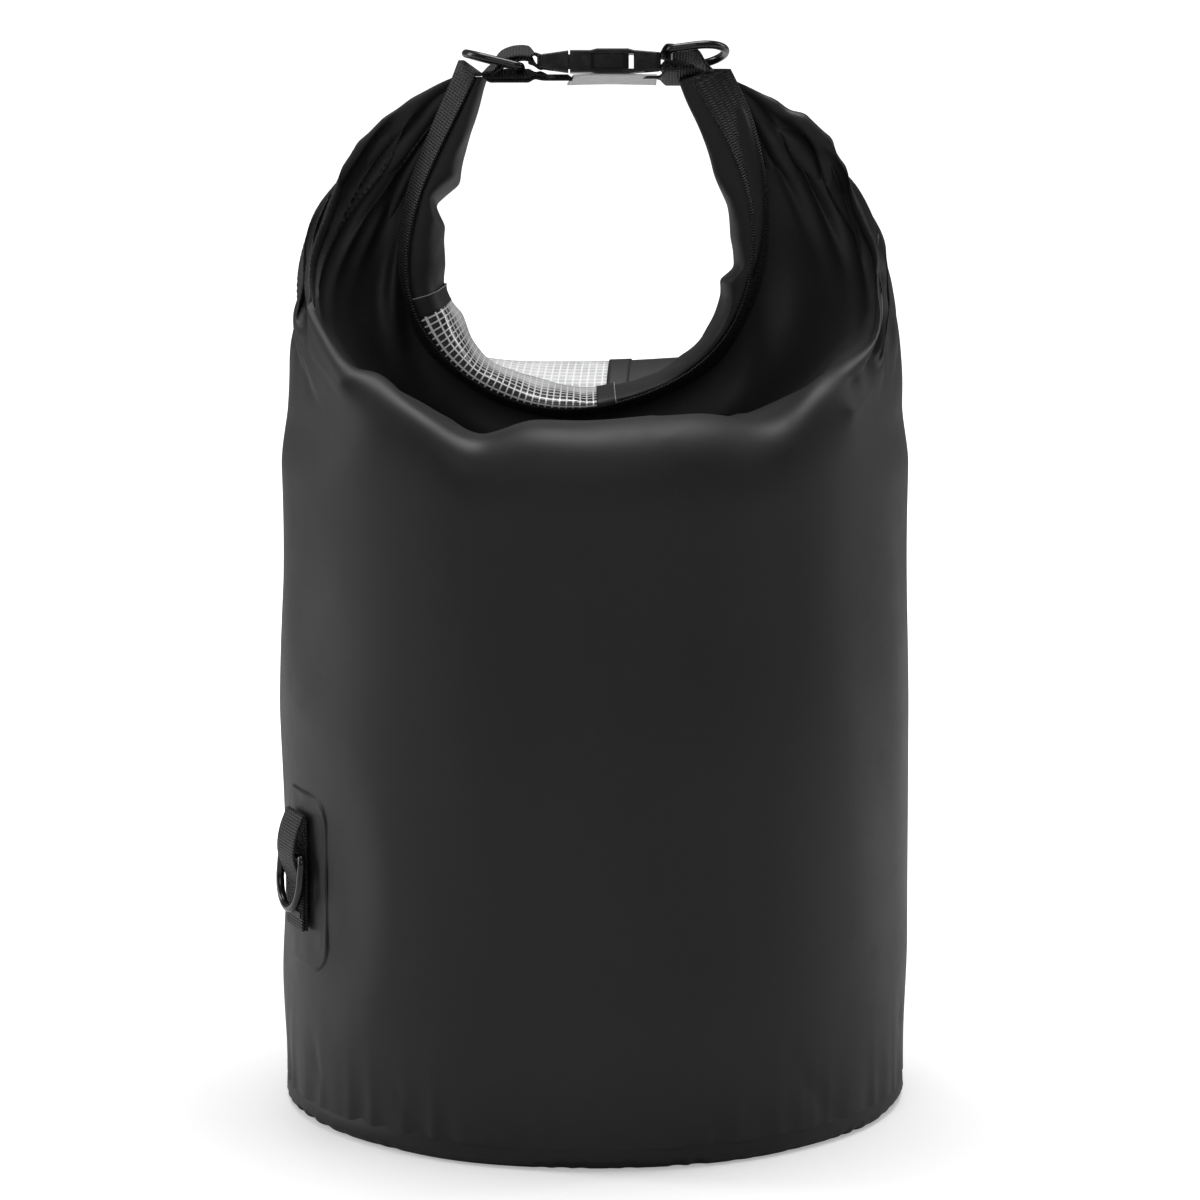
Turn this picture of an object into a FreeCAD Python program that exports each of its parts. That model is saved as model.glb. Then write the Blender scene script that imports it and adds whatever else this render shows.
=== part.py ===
"""Roll-top rope storage bag: a round tarpaulin bag whose rolled mouth is buckled into a carrying loop.

Millimetres. +Z is up, the origin is the middle of the base's underside, and the front faces -Y.
Rigid pieces are features bound to the sheet of sizes. The soft pieces, whose shape is a surface that
no sketch describes, are spline shapes worked out from the same sizes.
"""

import FreeCAD, Part
import math
import os
import re

import Sketcher
from FreeCAD import Placement, Rotation, Vector

SIZES = {
    # the bag
    "bag_diameter": 306.0,
    "wall_thickness": 0.9,
    "front_height": 322.0,  # where the front and back of the wall start to turn in
    "side_height": 372.0,  # where the sides start to turn in
    "front_rise": 92.0,  # how strongly the wall runs on upwards before it turns in
    "side_rise": 84.0,
    "valley_pull": 98.0,  # how strongly it comes up out of the valley into the roll
    "ridge_pull": 52.0,
    "base_rounding": 10.0,
    "base_thickness": 1.6,
    "base_flange": 16.0,
    "fabric_gap": 0.35,  # between pieces that are welded or sewn together
    # the clear window strip in the back
    "window_width": 110.0,
    "window_offset": 43.0,  # its middle is this far to the left of the bag's middle
    "weld_width": 9.0,
    "weld_thickness": 0.6,
    # the rolled mouth
    "mouth_allowance": 8.3,  # taken out of each end of the mouth by the roll
    "mouth_height": 341.0,  # its lowest point
    "mouth_shift": -9.4,
    "mouth_turn": 114.6,  # how far each half of the loop turns, in degrees
    "mouth_roundness": 0.61,
    "mouth_lean": -3.0,
    "mouth_sway": -9.2,
    "roll_width": 30.0,
    "roll_thickness": 8.4,
    "roll_tilt": 19.0,  # how far its back edge leans in towards the loop's middle at the sides
    "roll_tilt_low": 8.0,  # and at the bottom of the loop
    "roll_twist": 76.0,  # how far the right end is turned over to the front
    "twist_shift": 12.0,  # how far the turned end moves in
    "rim_turn": 19.0,  # how far the rim webbing's face is turned to the front
    "rim_twist": 58.0,  # further, at the right end
    "entry_depth": 10.5,  # where the wall enters the roll, behind the bag's middle
    "layer_gap": 3.4,  # half the space between front and back there
    "turned_entry": 19.0,  # how far outside the mouth's line it enters the turned end
    "roll_edge": 1.3,  # half the thickness of the roll's two edges
    "rim_width": 20.0,
    "rim_thickness": 1.4,
    "stiffener_width": 16.0,
    "stiffener_thickness": 0.8,
    "roll_end_cut": 0.955,  # the roll stops at this share of the mouth's half length
    "rim_end_cut": 0.955,
    # straps, 25 mm webbing
    "strap_width": 25.0,
    "strap_thickness": 1.5,
    "strap_reach": 55.5,  # from the middle of the buckle to the fold at the roll's end
    "tail_drop": 7.6,  # the tails run this far below the buckle's mid plane
    "left_tail_end": 14.0,
    "right_tail_end": 20.0,
    "left_loop_rise": 5.2,
    "right_loop_rise": 4.7,
    "right_loop_twist": -17.0,  # the right loop and its ring are turned this much further, in degrees
    "wrap_gap": 0.35,  # between webbing and the bars it goes round
    "guard_length": 42.0,
    "guard_overlap": 8.0,
    "guard_thickness": 1.2,
    # the buckle
    "gear_height": 515.5,  # the buckle's mid plane
    "gear_shift": 2.0,
    "gear_depth": -4.0,
    "gear_tilt": -7.0,  # the front edge of the buckle is turned up, in degrees
    "buckle_width": 33.6,
    "male_length": 15.0,
    "male_end_thickness": 6.2,
    "male_thickness": 10.4,
    "bar_diameter": 3.2,
    "slot_length": 4.6,
    "slot_side_play": 0.8,
    "buckle_gap": 0.9,
    "block_length": 10.0,  # the solid ring round the female half's mouth
    "side_window_length": 21.0,
    "end_length": 13.0,
    "female_thickness": 10.8,
    "bulge_thickness": 12.4,  # over the side windows
    "end_thickness": 8.6,
    "cavity_height": 7.2,
    "cavity_width": 28.8,
    "window_clearance": 0.5,  # at each end of a thumb pad
    "arm_thickness": 2.6,
    "pad_length": 18.0,
    "pad_reach": 2.1,  # how far a thumb pad's shoulder catches behind the block
    "knuckle_diameter": 4.6,
    "knuckle_set_back": 3.2,
    "running_clearance": 0.3,
    "neck_play": 0.9,  # room for the neck of an arm as it is pressed in
    "guide_width": 5.0,
    "guide_height": 3.4,
    "guide_length": 24.0,
    "edge_rounding": 0.8,
    "plan_rounding": 2.4,
    # D rings
    "ring_wire": 4.0,
    "ring_side_play": 0.7,  # between the webbing's edge and the wire
    "ring_depth": 27.5,  # from the bar's axis to the bow's axis
    "ring_corner": 3.0,
    "left_ring_place": 38.0,  # its bar, from the middle of the buckle
    "left_ring_height": -2.6,
    "left_ring_angle": 14.0,
    "right_ring_place": 34.2,
    "right_ring_height": 1.6,
    "right_ring_angle": 8.0,
    "side_ring_angle": 5.0,
    # the side tab
    "side_angle": 201.4,  # where it sits round the bag, in degrees from +X
    "side_tab_low": 97.0,
    "side_tab_high": 155.0,
    "side_bar_height": 134.0,
    "patch_width": 57.0,
    "patch_low": 77.0,
    "patch_high": 165.0,
    "patch_thickness": 0.9,
    "patch_corner": 15.0,
    "bartack_length": 3.0,
    "bartack_thickness": 0.6,
}

doc = FreeCAD.newDocument("RopeBag")
sheet = doc.addObject("Spreadsheet::Sheet", "sizes")
for row, (alias, value) in enumerate(SIZES.items(), start=1):
    sheet.set(f"A{row}", alias)
    sheet.set(f"B{row}", str(value))
    sheet.setAlias(f"B{row}", alias)
DERIVED = {
    "buckle_length": "male_length + buckle_gap + block_length + side_window_length + end_length",
    "male_start": "-buckle_length / 2",
    "male_end": "male_start + male_length",
    "female_start": "male_end + buckle_gap",
    "window_start": "female_start + block_length",
    "window_end": "window_start + side_window_length",
    "female_end": "window_end + end_length",
    "slot_half": "strap_width / 2 + slot_side_play",
    "arm_height": "cavity_height - 2 * running_clearance",
    "arm_middle": "cavity_width / 2 - running_clearance - arm_thickness / 2",
    "knuckle_place": "male_end - knuckle_set_back",
    "ring_half": "strap_width / 2 + ring_side_play + ring_wire / 2",
    "inside_radius": "bag_diameter / 2 - wall_thickness - fabric_gap - 0.2",
    "patch_radius": "bag_diameter / 2 + fabric_gap",
    "patch_outside": "patch_radius + patch_thickness",
    "guard_start": "right_tail_end + guard_overlap - guard_length",
}
for row, (alias, formula) in enumerate(DERIVED.items(), start=len(SIZES) + 1):
    sheet.set(f"A{row}", alias)
    sheet.setAlias(f"B{row}", alias)
    sheet.set(f"B{row}", f"={formula}")
doc.recompute()


def size(alias):
    """The value of a cell of the sheet."""
    return float(sheet.get(alias))


def bind(thing, **expressions):
    """Ties properties to expressions over the sheet; a double underscore stands for a dot."""
    for prop, text in expressions.items():
        thing.setExpression(prop.replace("__", "."), str(text))
    return thing


def feature(label, shape, placement=None):
    """A sub-part whose shape is worked out here."""
    made = doc.addObject("Part::Feature", label)
    made.Label = label
    made.Shape = shape
    if placement:
        made.Placement = placement
    return made


# ---------------------------------------------------------------- the sizes that several pieces share

RADIUS = size("bag_diameter") / 2
WALL = size("wall_thickness")
GAP = size("fabric_gap")
MOUTH_LENGTH = math.pi * RADIUS - 2 * size("mouth_allowance")
ROLL_HALF = size("roll_thickness") / 2
PATH_STEPS = 400
COLUMNS = 36  # poles across the front or the back
STRAIGHT_ROWS = 7
CURVED_ROWS = 17


# ---------------------------------------------------------------- the line of the rolled mouth


def mouth_direction(q):
    """The heading of the mouth's line in the XZ plane, in radians, at q from -1 (left end) to 1."""
    turn = size("mouth_turn") * (q + size("mouth_roundness") * math.sin(math.pi * q) / math.pi)
    lean = size("mouth_lean") * math.cos(math.pi * q / 2)
    sway = size("mouth_sway") * math.sin(2 * math.pi * q)
    return math.radians(turn + lean + sway)


def mouth_table():
    """The mouth's line as points at even steps of q, integrated from its heading."""
    step = MOUTH_LENGTH / PATH_STEPS
    points, x, z = [(0.0, 0.0)], 0.0, 0.0
    for i in range(PATH_STEPS):
        heading = mouth_direction(-1 + (2 * i + 1) / PATH_STEPS)
        x += step * math.cos(heading)
        z += step * math.sin(heading)
        points.append((x, z))
    mx, mz = points[PATH_STEPS // 2]
    return [(px - mx + size("mouth_shift"), pz - mz + size("mouth_height")) for px, pz in points]


MOUTH = mouth_table()


def mouth_point(q):
    """A point of the mouth's line, which is the front edge of the roll, as (x, z)."""
    at = min(max((q + 1) / 2 * PATH_STEPS, 0.0), PATH_STEPS)
    i = min(int(at), PATH_STEPS - 1)
    f = at - i
    return tuple(a + f * (b - a) for a, b in zip(MOUTH[i], MOUTH[i + 1]))


def smooth(x):
    """0 to 1 with level ends."""
    x = min(max(x, 0.0), 1.0)
    return x * x * (3 - 2 * x)


def twisted(q):
    """How much of the twist at the right end has come in, from 0 to 1."""
    return smooth((q - 0.42) / 0.5)


def roll_tilt(q):
    """How far the roll's back edge leans in towards the middle of the loop, in radians."""
    sides = math.sin(math.pi * q / 2) ** 2
    tilt = size("roll_tilt_low") + (size("roll_tilt") - size("roll_tilt_low")) * sides
    return math.radians(tilt - size("roll_twist") * twisted(q))


def beside_mouth(q, inward, y):
    """The point at a depth y, and a distance in from the mouth's line towards the loop's middle."""
    x, z = mouth_point(q)
    heading = mouth_direction(q)
    return Vector(x - inward * math.sin(heading), y, z + inward * math.cos(heading))


def in_roll(q, across, up):
    """A point of the roll's own section: across from its front edge, up towards the loop's middle."""
    tilt = roll_tilt(q)
    y = across * math.cos(tilt) - up * math.sin(tilt) - size("roll_width") / 2
    inward = across * math.sin(tilt) + up * math.cos(tilt)
    inward += ROLL_HALF * (1 - twisted(q)) + size("twist_shift") * twisted(q)
    return beside_mouth(q, inward, y)


# ---------------------------------------------------------------- the wall's surface


def entry_point(q, back):
    """Where the wall enters the roll, under its back edge."""
    spread = size("layer_gap") * max(1 - q * q, 0.0) ** 0.5
    spread = spread if back else -spread
    q *= size("roll_end_cut")
    inward = (-GAP - 1.2) * (1 - twisted(q)) - size("turned_entry") * twisted(q)
    return beside_mouth(q, inward, size("entry_depth") - 4 * twisted(q) + spread)


def entry_direction(q):
    """The heading, in the XZ plane, in which the wall runs into the roll."""
    angle = math.radians(90 + 68 * q)
    return Vector(math.cos(angle), 0, math.sin(angle))


def skin(q, back, t):
    """The wall's outer face: q across it, t from 0 at the base, 1 where it turns in, to 2 at the roll."""
    if abs(q) > 1:
        q, back = (2 - q if q > 0 else -2 - q), not back
    angle = math.radians(90 - 90 * q) if back else math.radians(270 + 90 * q)
    foot = Vector(RADIUS * math.cos(angle), RADIUS * math.sin(angle), size("base_rounding") + 0.1)
    side = abs(q) ** 2.2
    shoulder = size("front_height") + (size("side_height") - size("front_height")) * side
    start = Vector(foot.x, foot.y, shoulder)
    if t < 1:
        return foot + (start - foot) * t
    rise = size("front_rise") + (size("side_rise") - size("front_rise")) * side
    pull = size("valley_pull") + (size("ridge_pull") - size("valley_pull")) * side
    end = entry_point(q, back)
    first = start + Vector(0, 0, rise)
    second = end - entry_direction(q) * pull
    u = t - 1
    return start * (1 - u) ** 3 + first * 3 * u * (1 - u) ** 2 + second * 3 * u * u * (1 - u) + end * u**3


def wall_pole(q, back, t, inset):
    """A point of the wall at a depth below its outer face, measured square to that face."""
    at, step = skin(q, back, t), 0.004
    if not inset:
        return at
    across = skin(q + step, back, t) - skin(q - step, back, t)
    along = skin(q, back, min(t + step, 2)) - skin(q, back, t - step if t > step else 0.0)
    normal = across.cross(along).normalize()
    return at + normal * (inset if back else -inset)


def wall_column(q, back, inset=0.0):
    """The poles of one upright line of the wall."""
    rows = [i / STRAIGHT_ROWS for i in range(STRAIGHT_ROWS)]
    rows += [1 + i / (CURVED_ROWS - 1) for i in range(CURVED_ROWS)]
    return [wall_pole(q, back, t, inset) for t in rows]


def knots(count, degree):
    """Clamped, even knots for a number of poles, as (knots, multiplicities)."""
    inner = count - degree
    return [float(i) for i in range(inner + 1)], [degree + 1] + [1] * (inner - 1) + [degree + 1]


def spline_face(poles):
    """A smooth face over a grid of poles; two rows of poles make a ruled one."""
    degrees = [min(3, len(poles) - 1), min(3, len(poles[0]) - 1)]
    (uk, um), (vk, vm) = knots(len(poles), degrees[0]), knots(len(poles[0]), degrees[1])
    surface = Part.BSplineSurface()
    surface.buildFromPolesMultsKnots(poles, um, vm, uk, vk, False, False, *degrees)
    return surface.toShape()


def shell_solid(strips):
    """One closed solid from strips of (outer poles, inner poles, open start, open end), edge to edge."""
    faces = []
    for outer, inner, open_start, open_end in strips:
        faces += [spline_face(outer), spline_face(inner)]
        faces.append(spline_face([[c[0] for c in outer], [c[0] for c in inner]]))
        faces.append(spline_face([[c[-1] for c in outer], [c[-1] for c in inner]]))
        if open_start:
            faces.append(spline_face([outer[0], inner[0]]))
        if open_end:
            faces.append(spline_face([outer[-1], inner[-1]]))
    shell = Part.makeShell(faces)
    shell.sewShape()
    solid = Part.makeSolid(shell)
    if solid.Volume < 0:
        solid.reverse()
    return solid


def strip(q0, q1, columns, back, outer, inner, open_start=False, open_end=False):
    """A strip of wall between two places across the bag, between two depths below the outer face."""
    places = [q0 + (q1 - q0) * i / columns for i in range(columns + 1)]
    return (
        [wall_column(q, back, outer) for q in places],
        [wall_column(q, back, inner) for q in places],
        open_start,
        open_end,
    )


def across_bag(distance):
    """The place across the bag, -1 to 1, of a distance round it from its middle."""
    return distance / (math.pi * RADIUS / 2)


WINDOW_LEFT = -size("window_offset") - size("window_width") / 2
WINDOW_RIGHT = -size("window_offset") + size("window_width") / 2


def make_wall_panel():
    """The black tarpaulin that goes round the bag from one side of the window to the other."""
    right, left = across_bag(WINDOW_RIGHT + GAP), across_bag(WINDOW_LEFT - GAP)
    return feature(
        "wall_panel",
        shell_solid(
            [
                strip(right, 1, COLUMNS // 2, True, 0, WALL, open_start=True),
                strip(1, -1, COLUMNS, False, 0, WALL),
                strip(-1, left, COLUMNS // 4, True, 0, WALL, open_end=True),
            ]
        ),
    )


def make_window_panel():
    """The clear strip, reinforced with a square mesh, from the base to the mouth."""
    ends = across_bag(WINDOW_LEFT), across_bag(WINDOW_RIGHT)
    return feature("window_panel", shell_solid([strip(*ends, 12, True, 0, WALL, True, True)]))


def make_window_weld(label, start, direction):
    """A flat strip welded over the joint between the wall and the window."""
    ends = across_bag(start), across_bag(start + direction * size("weld_width"))
    inside = -GAP - 0.15
    outside = inside - size("weld_thickness")
    return feature(label, shell_solid([strip(*ends, 4, True, outside, inside, True, True)]))


# ---------------------------------------------------------------- the roll and what is sewn to it


def tube_between(label, columns):
    """A solid from columns of (one side's poles, the other side's poles)."""
    one = [c[0] for c in columns]
    other = [c[1] for c in columns]
    return feature(label, shell_solid([(one, other, True, True)]))


def make_top_roll():
    """The mouth rolled up on itself, as the outside of the flat roll."""
    width, edge = size("roll_width"), size("roll_edge")
    columns = []
    for i in range(49):
        q = size("roll_end_cut") * (2 * i / 48 - 1)
        upper, lower = [], []
        for k in range(11):
            c = -math.cos(math.pi * k / 10)
            high = edge + (ROLL_HALF - edge) * (1 - c**6) ** 0.5
            upper.append(in_roll(q, width / 2 * (1 + c), high))
            lower.append(in_roll(q, width / 2 * (1 + c), -high))
        columns.append((upper, lower))
    return tube_between("top_roll", columns)


def in_rim(q, across, out):
    """A point of the rim webbing's section: across from its inner edge, out through its face."""
    turn = math.radians(size("rim_turn") + size("rim_twist") * twisted(q))
    out += GAP + (ROLL_HALF + 0.4) * twisted(q)
    inward = 0.85 * size("twist_shift") * twisted(q) - across * math.sin(turn) - out * math.cos(turn)
    y = across * math.cos(turn) - out * math.sin(turn) - size("roll_width") / 2
    return beside_mouth(q, inward, y)


def band_along_mouth(label, start, width, low, thickness, end):
    """A flat band that follows the rim, between two distances through its face."""
    columns = []
    for i in range(49):
        q = end * (2 * i / 48 - 1)
        places = [start + width * k / 3 for k in range(4)]
        far = [in_rim(q, across, low + thickness) for across in places]
        near = [in_rim(q, across, low) for across in places]
        columns.append((far, near))
    return tube_between(label, columns)


def make_rim():
    """The rim webbing, with the plastic stiffener behind it."""
    thick, end = size("stiffener_thickness"), size("rim_end_cut")
    margin = (size("rim_width") - size("stiffener_width")) / 2
    return [
        band_along_mouth("mouth_stiffener", margin, size("stiffener_width"), 0, thick, end - 0.02),
        band_along_mouth("rim_webbing", 0, size("rim_width"), thick + GAP / 2, size("rim_thickness"), end),
    ]


# ---------------------------------------------------------------- helpers for the rigid pieces


def primitive(kind, label, turn=None, **expressions):
    """A Part primitive bound to the sheet, turned by (axis, degrees) if asked."""
    made = doc.addObject(kind, label)
    if turn:
        made.Placement = Placement(Vector(), Rotation(Vector(*turn[0]), turn[1]))
    return bind(made, **expressions)


def new_body(label):
    made = doc.addObject("PartDesign::Body", label)
    made.Label = label
    return made


def value(expression):
    """What an expression over the sheet comes to."""
    return float(sheet.evalExpression(expression))


def sketch_in(body, plane):
    """An empty sketch on one of the body's own origin planes: XY, XZ or YZ."""
    sketch = body.newObject("Sketcher::SketchObject", "Sketch")
    origin = next(f for f in body.Origin.OriginFeatures if f.Role == f"{plane}_Plane")
    sketch.AttachmentSupport = [(origin, "")]
    sketch.MapMode = "FlatFace"
    return sketch


def hold(sketch, line, end, across, up):
    """Pins one point of a sketch at expressions over the sheet."""
    for kind, expression in (("DistanceX", across), ("DistanceY", up)):
        text = cells(expression)
        at = sketch.addConstraint(Sketcher.Constraint(kind, -1, 1, line, end, value(expression)))
        sketch.setExpression(f"Constraints[{at}]", text)


def cells(expression):
    """The same expression as seen from another object, with the sheet's name before each alias."""
    names = sorted(list(SIZES) + list(DERIVED), key=len, reverse=True)
    return re.sub(r"\b(" + "|".join(names) + r")\b", r"sizes.\1", expression)


def outline(body, plane, corners):
    """A closed sketch of straight lines through corners given as pairs of expressions."""
    sketch = sketch_in(body, plane)
    at = [Vector(value(x), value(y), 0) for x, y in corners]
    for i, point in enumerate(at):
        sketch.addGeometry(Part.LineSegment(point, at[(i + 1) % len(at)]), False)
    for i in range(len(at)):
        sketch.addConstraint(Sketcher.Constraint("Coincident", i, 2, (i + 1) % len(at), 1))
    for i, (x, y) in enumerate(corners):
        hold(sketch, i, 1, x, y)
    return sketch


def oblong(body, plane, x0, x1, half):
    """A rectangle from x0 to x1, as wide as half on either side of the axis."""
    return outline(body, plane, [(x0, f"-({half})"), (x1, f"-({half})"), (x1, half), (x0, half)])


def disc(body, plane, x, y, diameter):
    """A circle in a sketch of its own."""
    sketch = sketch_in(body, plane)
    circle = Part.Circle(Vector(value(x), value(y), 0), Vector(0, 0, 1), value(diameter) / 2)
    sketch.addGeometry(circle, False)
    hold(sketch, 0, 3, x, y)
    at = sketch.addConstraint(Sketcher.Constraint("Diameter", 0, value(diameter)))
    sketch.setExpression(f"Constraints[{at}]", cells(diameter))
    return sketch


def grow(body, sketch, thickness):
    """Adds a sketch as a slab, half of its thickness on either side of its plane."""
    pad = body.newObject("PartDesign::Pad", "Pad")
    pad.Profile = sketch
    pad.Midplane = True
    pad.Length = value(thickness)
    pad.setExpression("Length", cells(thickness))
    return pad


def sink(body, sketch, depth):
    """Takes a sketch out as a slab, half of its thickness on either side of its plane."""
    pocket = body.newObject("PartDesign::Pocket", "Pocket")
    pocket.Profile = sketch
    pocket.Midplane = True
    pocket.Length = value(depth)
    pocket.setExpression("Length", cells(depth))
    return pocket


def round_off(body, radius, wanted):
    """Rounds the edges of the body's last feature that wanted() picks by their middle and direction."""
    doc.recompute()
    base = body.Tip
    picked = []
    for i, edge in enumerate(base.Shape.Edges, start=1):
        first, last = edge.Vertexes[0].Point, edge.Vertexes[-1].Point
        if wanted((first + last) * 0.5, (last - first).normalize()):
            picked.append(f"Edge{i}")
    fillet = body.newObject("PartDesign::Fillet", "Fillet")
    fillet.Base = (base, picked)
    fillet.Radius = value(radius)
    fillet.setExpression("Radius", cells(radius))
    return fillet


def in_gear(thing):
    """Puts a piece drawn round the buckle's middle in its place."""
    thing.Placement = Placement(Vector(), Rotation(Vector(1, 0, 0), 10))
    return bind(
        thing,
        Placement__Base__x="sizes.gear_shift",
        Placement__Base__y="sizes.gear_depth",
        Placement__Base__z="sizes.gear_height",
        Placement__Rotation__Angle="sizes.gear_tilt * 1deg",
    )


# ---------------------------------------------------------------- the base


def make_base_pan():
    """The base: a flat dish with a rounded edge, whose flange is welded inside the wall."""
    body = new_body("base_pan")
    corners = [
        ("0", "0"),
        ("bag_diameter / 2", "0"),
        ("bag_diameter / 2", "base_rounding"),
        ("inside_radius", "base_rounding"),
        ("inside_radius", "base_rounding + base_flange"),
        ("inside_radius - base_thickness", "base_rounding + base_flange"),
        ("inside_radius - base_thickness", "base_thickness"),
        ("0", "base_thickness"),
    ]
    sketch = outline(body, "XZ", corners)
    turned = body.newObject("PartDesign::Revolution", "Revolution")
    turned.Profile = sketch
    turned.ReferenceAxis = (sketch, ["V_Axis"])
    turned.Angle = 360
    doc.recompute()
    rim = value("bag_diameter / 2")
    inner = value("inside_radius - base_thickness")
    for radius, reach, height in (
        ("base_rounding - 0.6", rim, 0.0),
        ("base_rounding - base_thickness - 1", inner, value("base_thickness")),
    ):
        base = body.Tip
        picked = [
            f"Edge{i}"
            for i, edge in enumerate(base.Shape.Edges, start=1)
            if abs(edge.BoundBox.ZMax - height) < 0.01
            and abs(edge.BoundBox.ZMin - height) < 0.01
            and abs(edge.BoundBox.XMax - reach) < 0.01
        ]
        fillet = body.newObject("PartDesign::Fillet", "Fillet")
        fillet.Base = (base, picked)
        fillet.Radius = value(radius)
        fillet.setExpression("Radius", cells(radius))
        doc.recompute()
    return body


# ---------------------------------------------------------------- the buckle


def buckle_bar(body, middle):
    """A round bar for webbing, across the buckle."""
    grow(body, disc(body, "XZ", middle, "0", "bar_diameter"), "2 * slot_half + 2")


def rounded_hull(body, profile):
    """A slab of the buckle's width from its side view, with its corners and edges rounded."""
    grow(body, outline(body, "XZ", profile), "buckle_width")
    ends = max(abs(value(x)) for x, _ in profile)
    round_off(body, "plan_rounding", lambda m, d: abs(d.z) > 0.99 and abs(abs(m.x) - ends) < 0.01)
    wide = value("buckle_width / 2")
    round_off(body, "edge_rounding", lambda m, d: abs(m.y) > wide - 0.01 and abs(d.x) > 0.9)


def make_buckle_male():
    """The male half's base: a bar for the strap, sockets for the arms, and the tongue that guides it."""
    body = new_body("buckle_male")
    rounded_hull(
        body,
        [
            ("male_start", "-male_end_thickness / 2"),
            ("male_end", "-male_thickness / 2"),
            ("male_end", "male_thickness / 2"),
            ("male_start", "male_end_thickness / 2"),
        ],
    )
    slot = oblong(body, "XY", "male_start - 1", "male_start + bar_diameter + slot_length", "slot_half")
    sink(body, slot, "male_thickness + 2")
    buckle_bar(body, "male_start + bar_diameter / 2")
    tongue = oblong(body, "XY", "male_end - 0.5", "male_end + guide_length", "guide_width / 2")
    grow(body, tongue, "guide_height")
    socket_height = "arm_height + 2 * running_clearance"
    for side in ("", "-"):
        middle = f"{side}arm_middle"
        socket = disc(body, "XY", "knuckle_place", middle, "knuckle_diameter + 2 * running_clearance")
        sink(body, socket, socket_height)
        inner = f"{side}(arm_middle - arm_thickness / 2 - neck_play)"
        outer = f"{side}(arm_middle + arm_thickness / 2 + running_clearance)"
        neck = [
            ("knuckle_place", inner),
            ("male_end + 1", inner),
            ("male_end + 1", outer),
            ("knuckle_place", outer),
        ]
        sink(body, outline(body, "XY", neck), socket_height)
    return in_gear(body)


def make_buckle_arm(label, side):
    """A latching arm with its thumb pad; side is an empty string for the rear one, a minus for the front."""
    body = new_body(label)
    inner = "arm_middle - arm_thickness / 2"
    outer = "arm_middle + arm_thickness / 2"
    face = f"{outer} + pad_reach"
    start = "window_start + window_clearance"
    end = f"{start} + pad_length"
    corners = [
        ("knuckle_place", inner),
        (end, inner),
        (end, f"{face} - 1.6"),
        (f"{end} - 3", face),
        (f"{start} + 1.5", face),
        (start, f"{face} - 0.5"),
        (start, outer),
        ("knuckle_place", outer),
    ]
    sketch = outline(body, "XY", [(x, f"{side}({y})") for x, y in corners])
    grow(body, sketch, "arm_height")
    knuckle = disc(body, "XY", "knuckle_place", f"{side}arm_middle", "knuckle_diameter")
    grow(body, knuckle, "arm_height")
    return in_gear(body)


def make_buckle_female():
    """The female half: a block round the mouth, plates over the open side windows, a bar for its strap."""
    body = new_body("buckle_female")
    top = [
        ("female_end", "end_thickness / 2"),
        ("window_end", "female_thickness / 2"),
        ("window_end - 3", "bulge_thickness / 2"),
        ("window_start + 3", "bulge_thickness / 2"),
        ("window_start", "female_thickness / 2"),
        ("female_start", "female_thickness / 2"),
    ]
    profile = top + [(x, f"-{y}") for x, y in reversed(top)]
    rounded_hull(body, profile)
    cavity = oblong(body, "XY", "female_start - 1", "window_end + 0.5", "cavity_width / 2")
    sink(body, cavity, "cavity_height")
    windows = oblong(body, "XY", "window_start", "window_end", "buckle_width / 2 + 1")
    sink(body, windows, "cavity_height")
    slot = oblong(body, "XY", "female_end - bar_diameter - slot_length", "female_end + 1", "slot_half")
    sink(body, slot, "female_thickness + 2")
    buckle_bar(body, "female_end - bar_diameter / 2")
    return in_gear(body)


# ---------------------------------------------------------------- D rings


def make_ring(label, placement):
    """A D ring of round wire, drawn with its bar along Y through the origin and its bow towards +X."""
    wire = "sizes.ring_wire / 2"
    straight = "sizes.ring_half - sizes.ring_corner"
    pieces = [
        primitive(
            "Part::Cylinder",
            f"{label}_bar",
            ((1, 0, 0), -90),
            Radius=wire,
            Height=f"2 * ({straight})",
            Placement__Base__y=f"-({straight})",
        ),
        primitive(
            "Part::Torus",
            f"{label}_bow",
            ((0, 0, 1), -90),
            Radius1="sizes.ring_half",
            Radius2=wire,
            Angle3=180,
            Placement__Base__x="sizes.ring_depth - sizes.ring_half",
        ),
    ]
    for side, turn in (("-", 180), ("", 90)):
        pieces.append(
            primitive(
                "Part::Torus",
                f"{label}_corner",
                ((0, 0, 1), turn),
                Radius1="sizes.ring_corner",
                Radius2=wire,
                Angle3=90,
                Placement__Base__x="sizes.ring_corner",
                Placement__Base__y=f"{side}({straight})",
            )
        )
        pieces.append(
            primitive(
                "Part::Cylinder",
                f"{label}_leg",
                ((0, 1, 0), 90),
                Radius=wire,
                Height="sizes.ring_depth - sizes.ring_half - sizes.ring_corner",
                Placement__Base__x="sizes.ring_corner",
                Placement__Base__y=f"{side}sizes.ring_half",
            )
        )
    ring = doc.addObject("Part::MultiFuse", label)
    ring.Label = label
    ring.Shapes = pieces
    ring.Refine = False
    ring.Placement = placement
    return ring


def gear_place():
    """The place of the buckle's own frame."""
    middle = Vector(size("gear_shift"), size("gear_depth"), size("gear_height"))
    return Placement(middle, Rotation(Vector(1, 0, 0), size("gear_tilt")))


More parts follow.
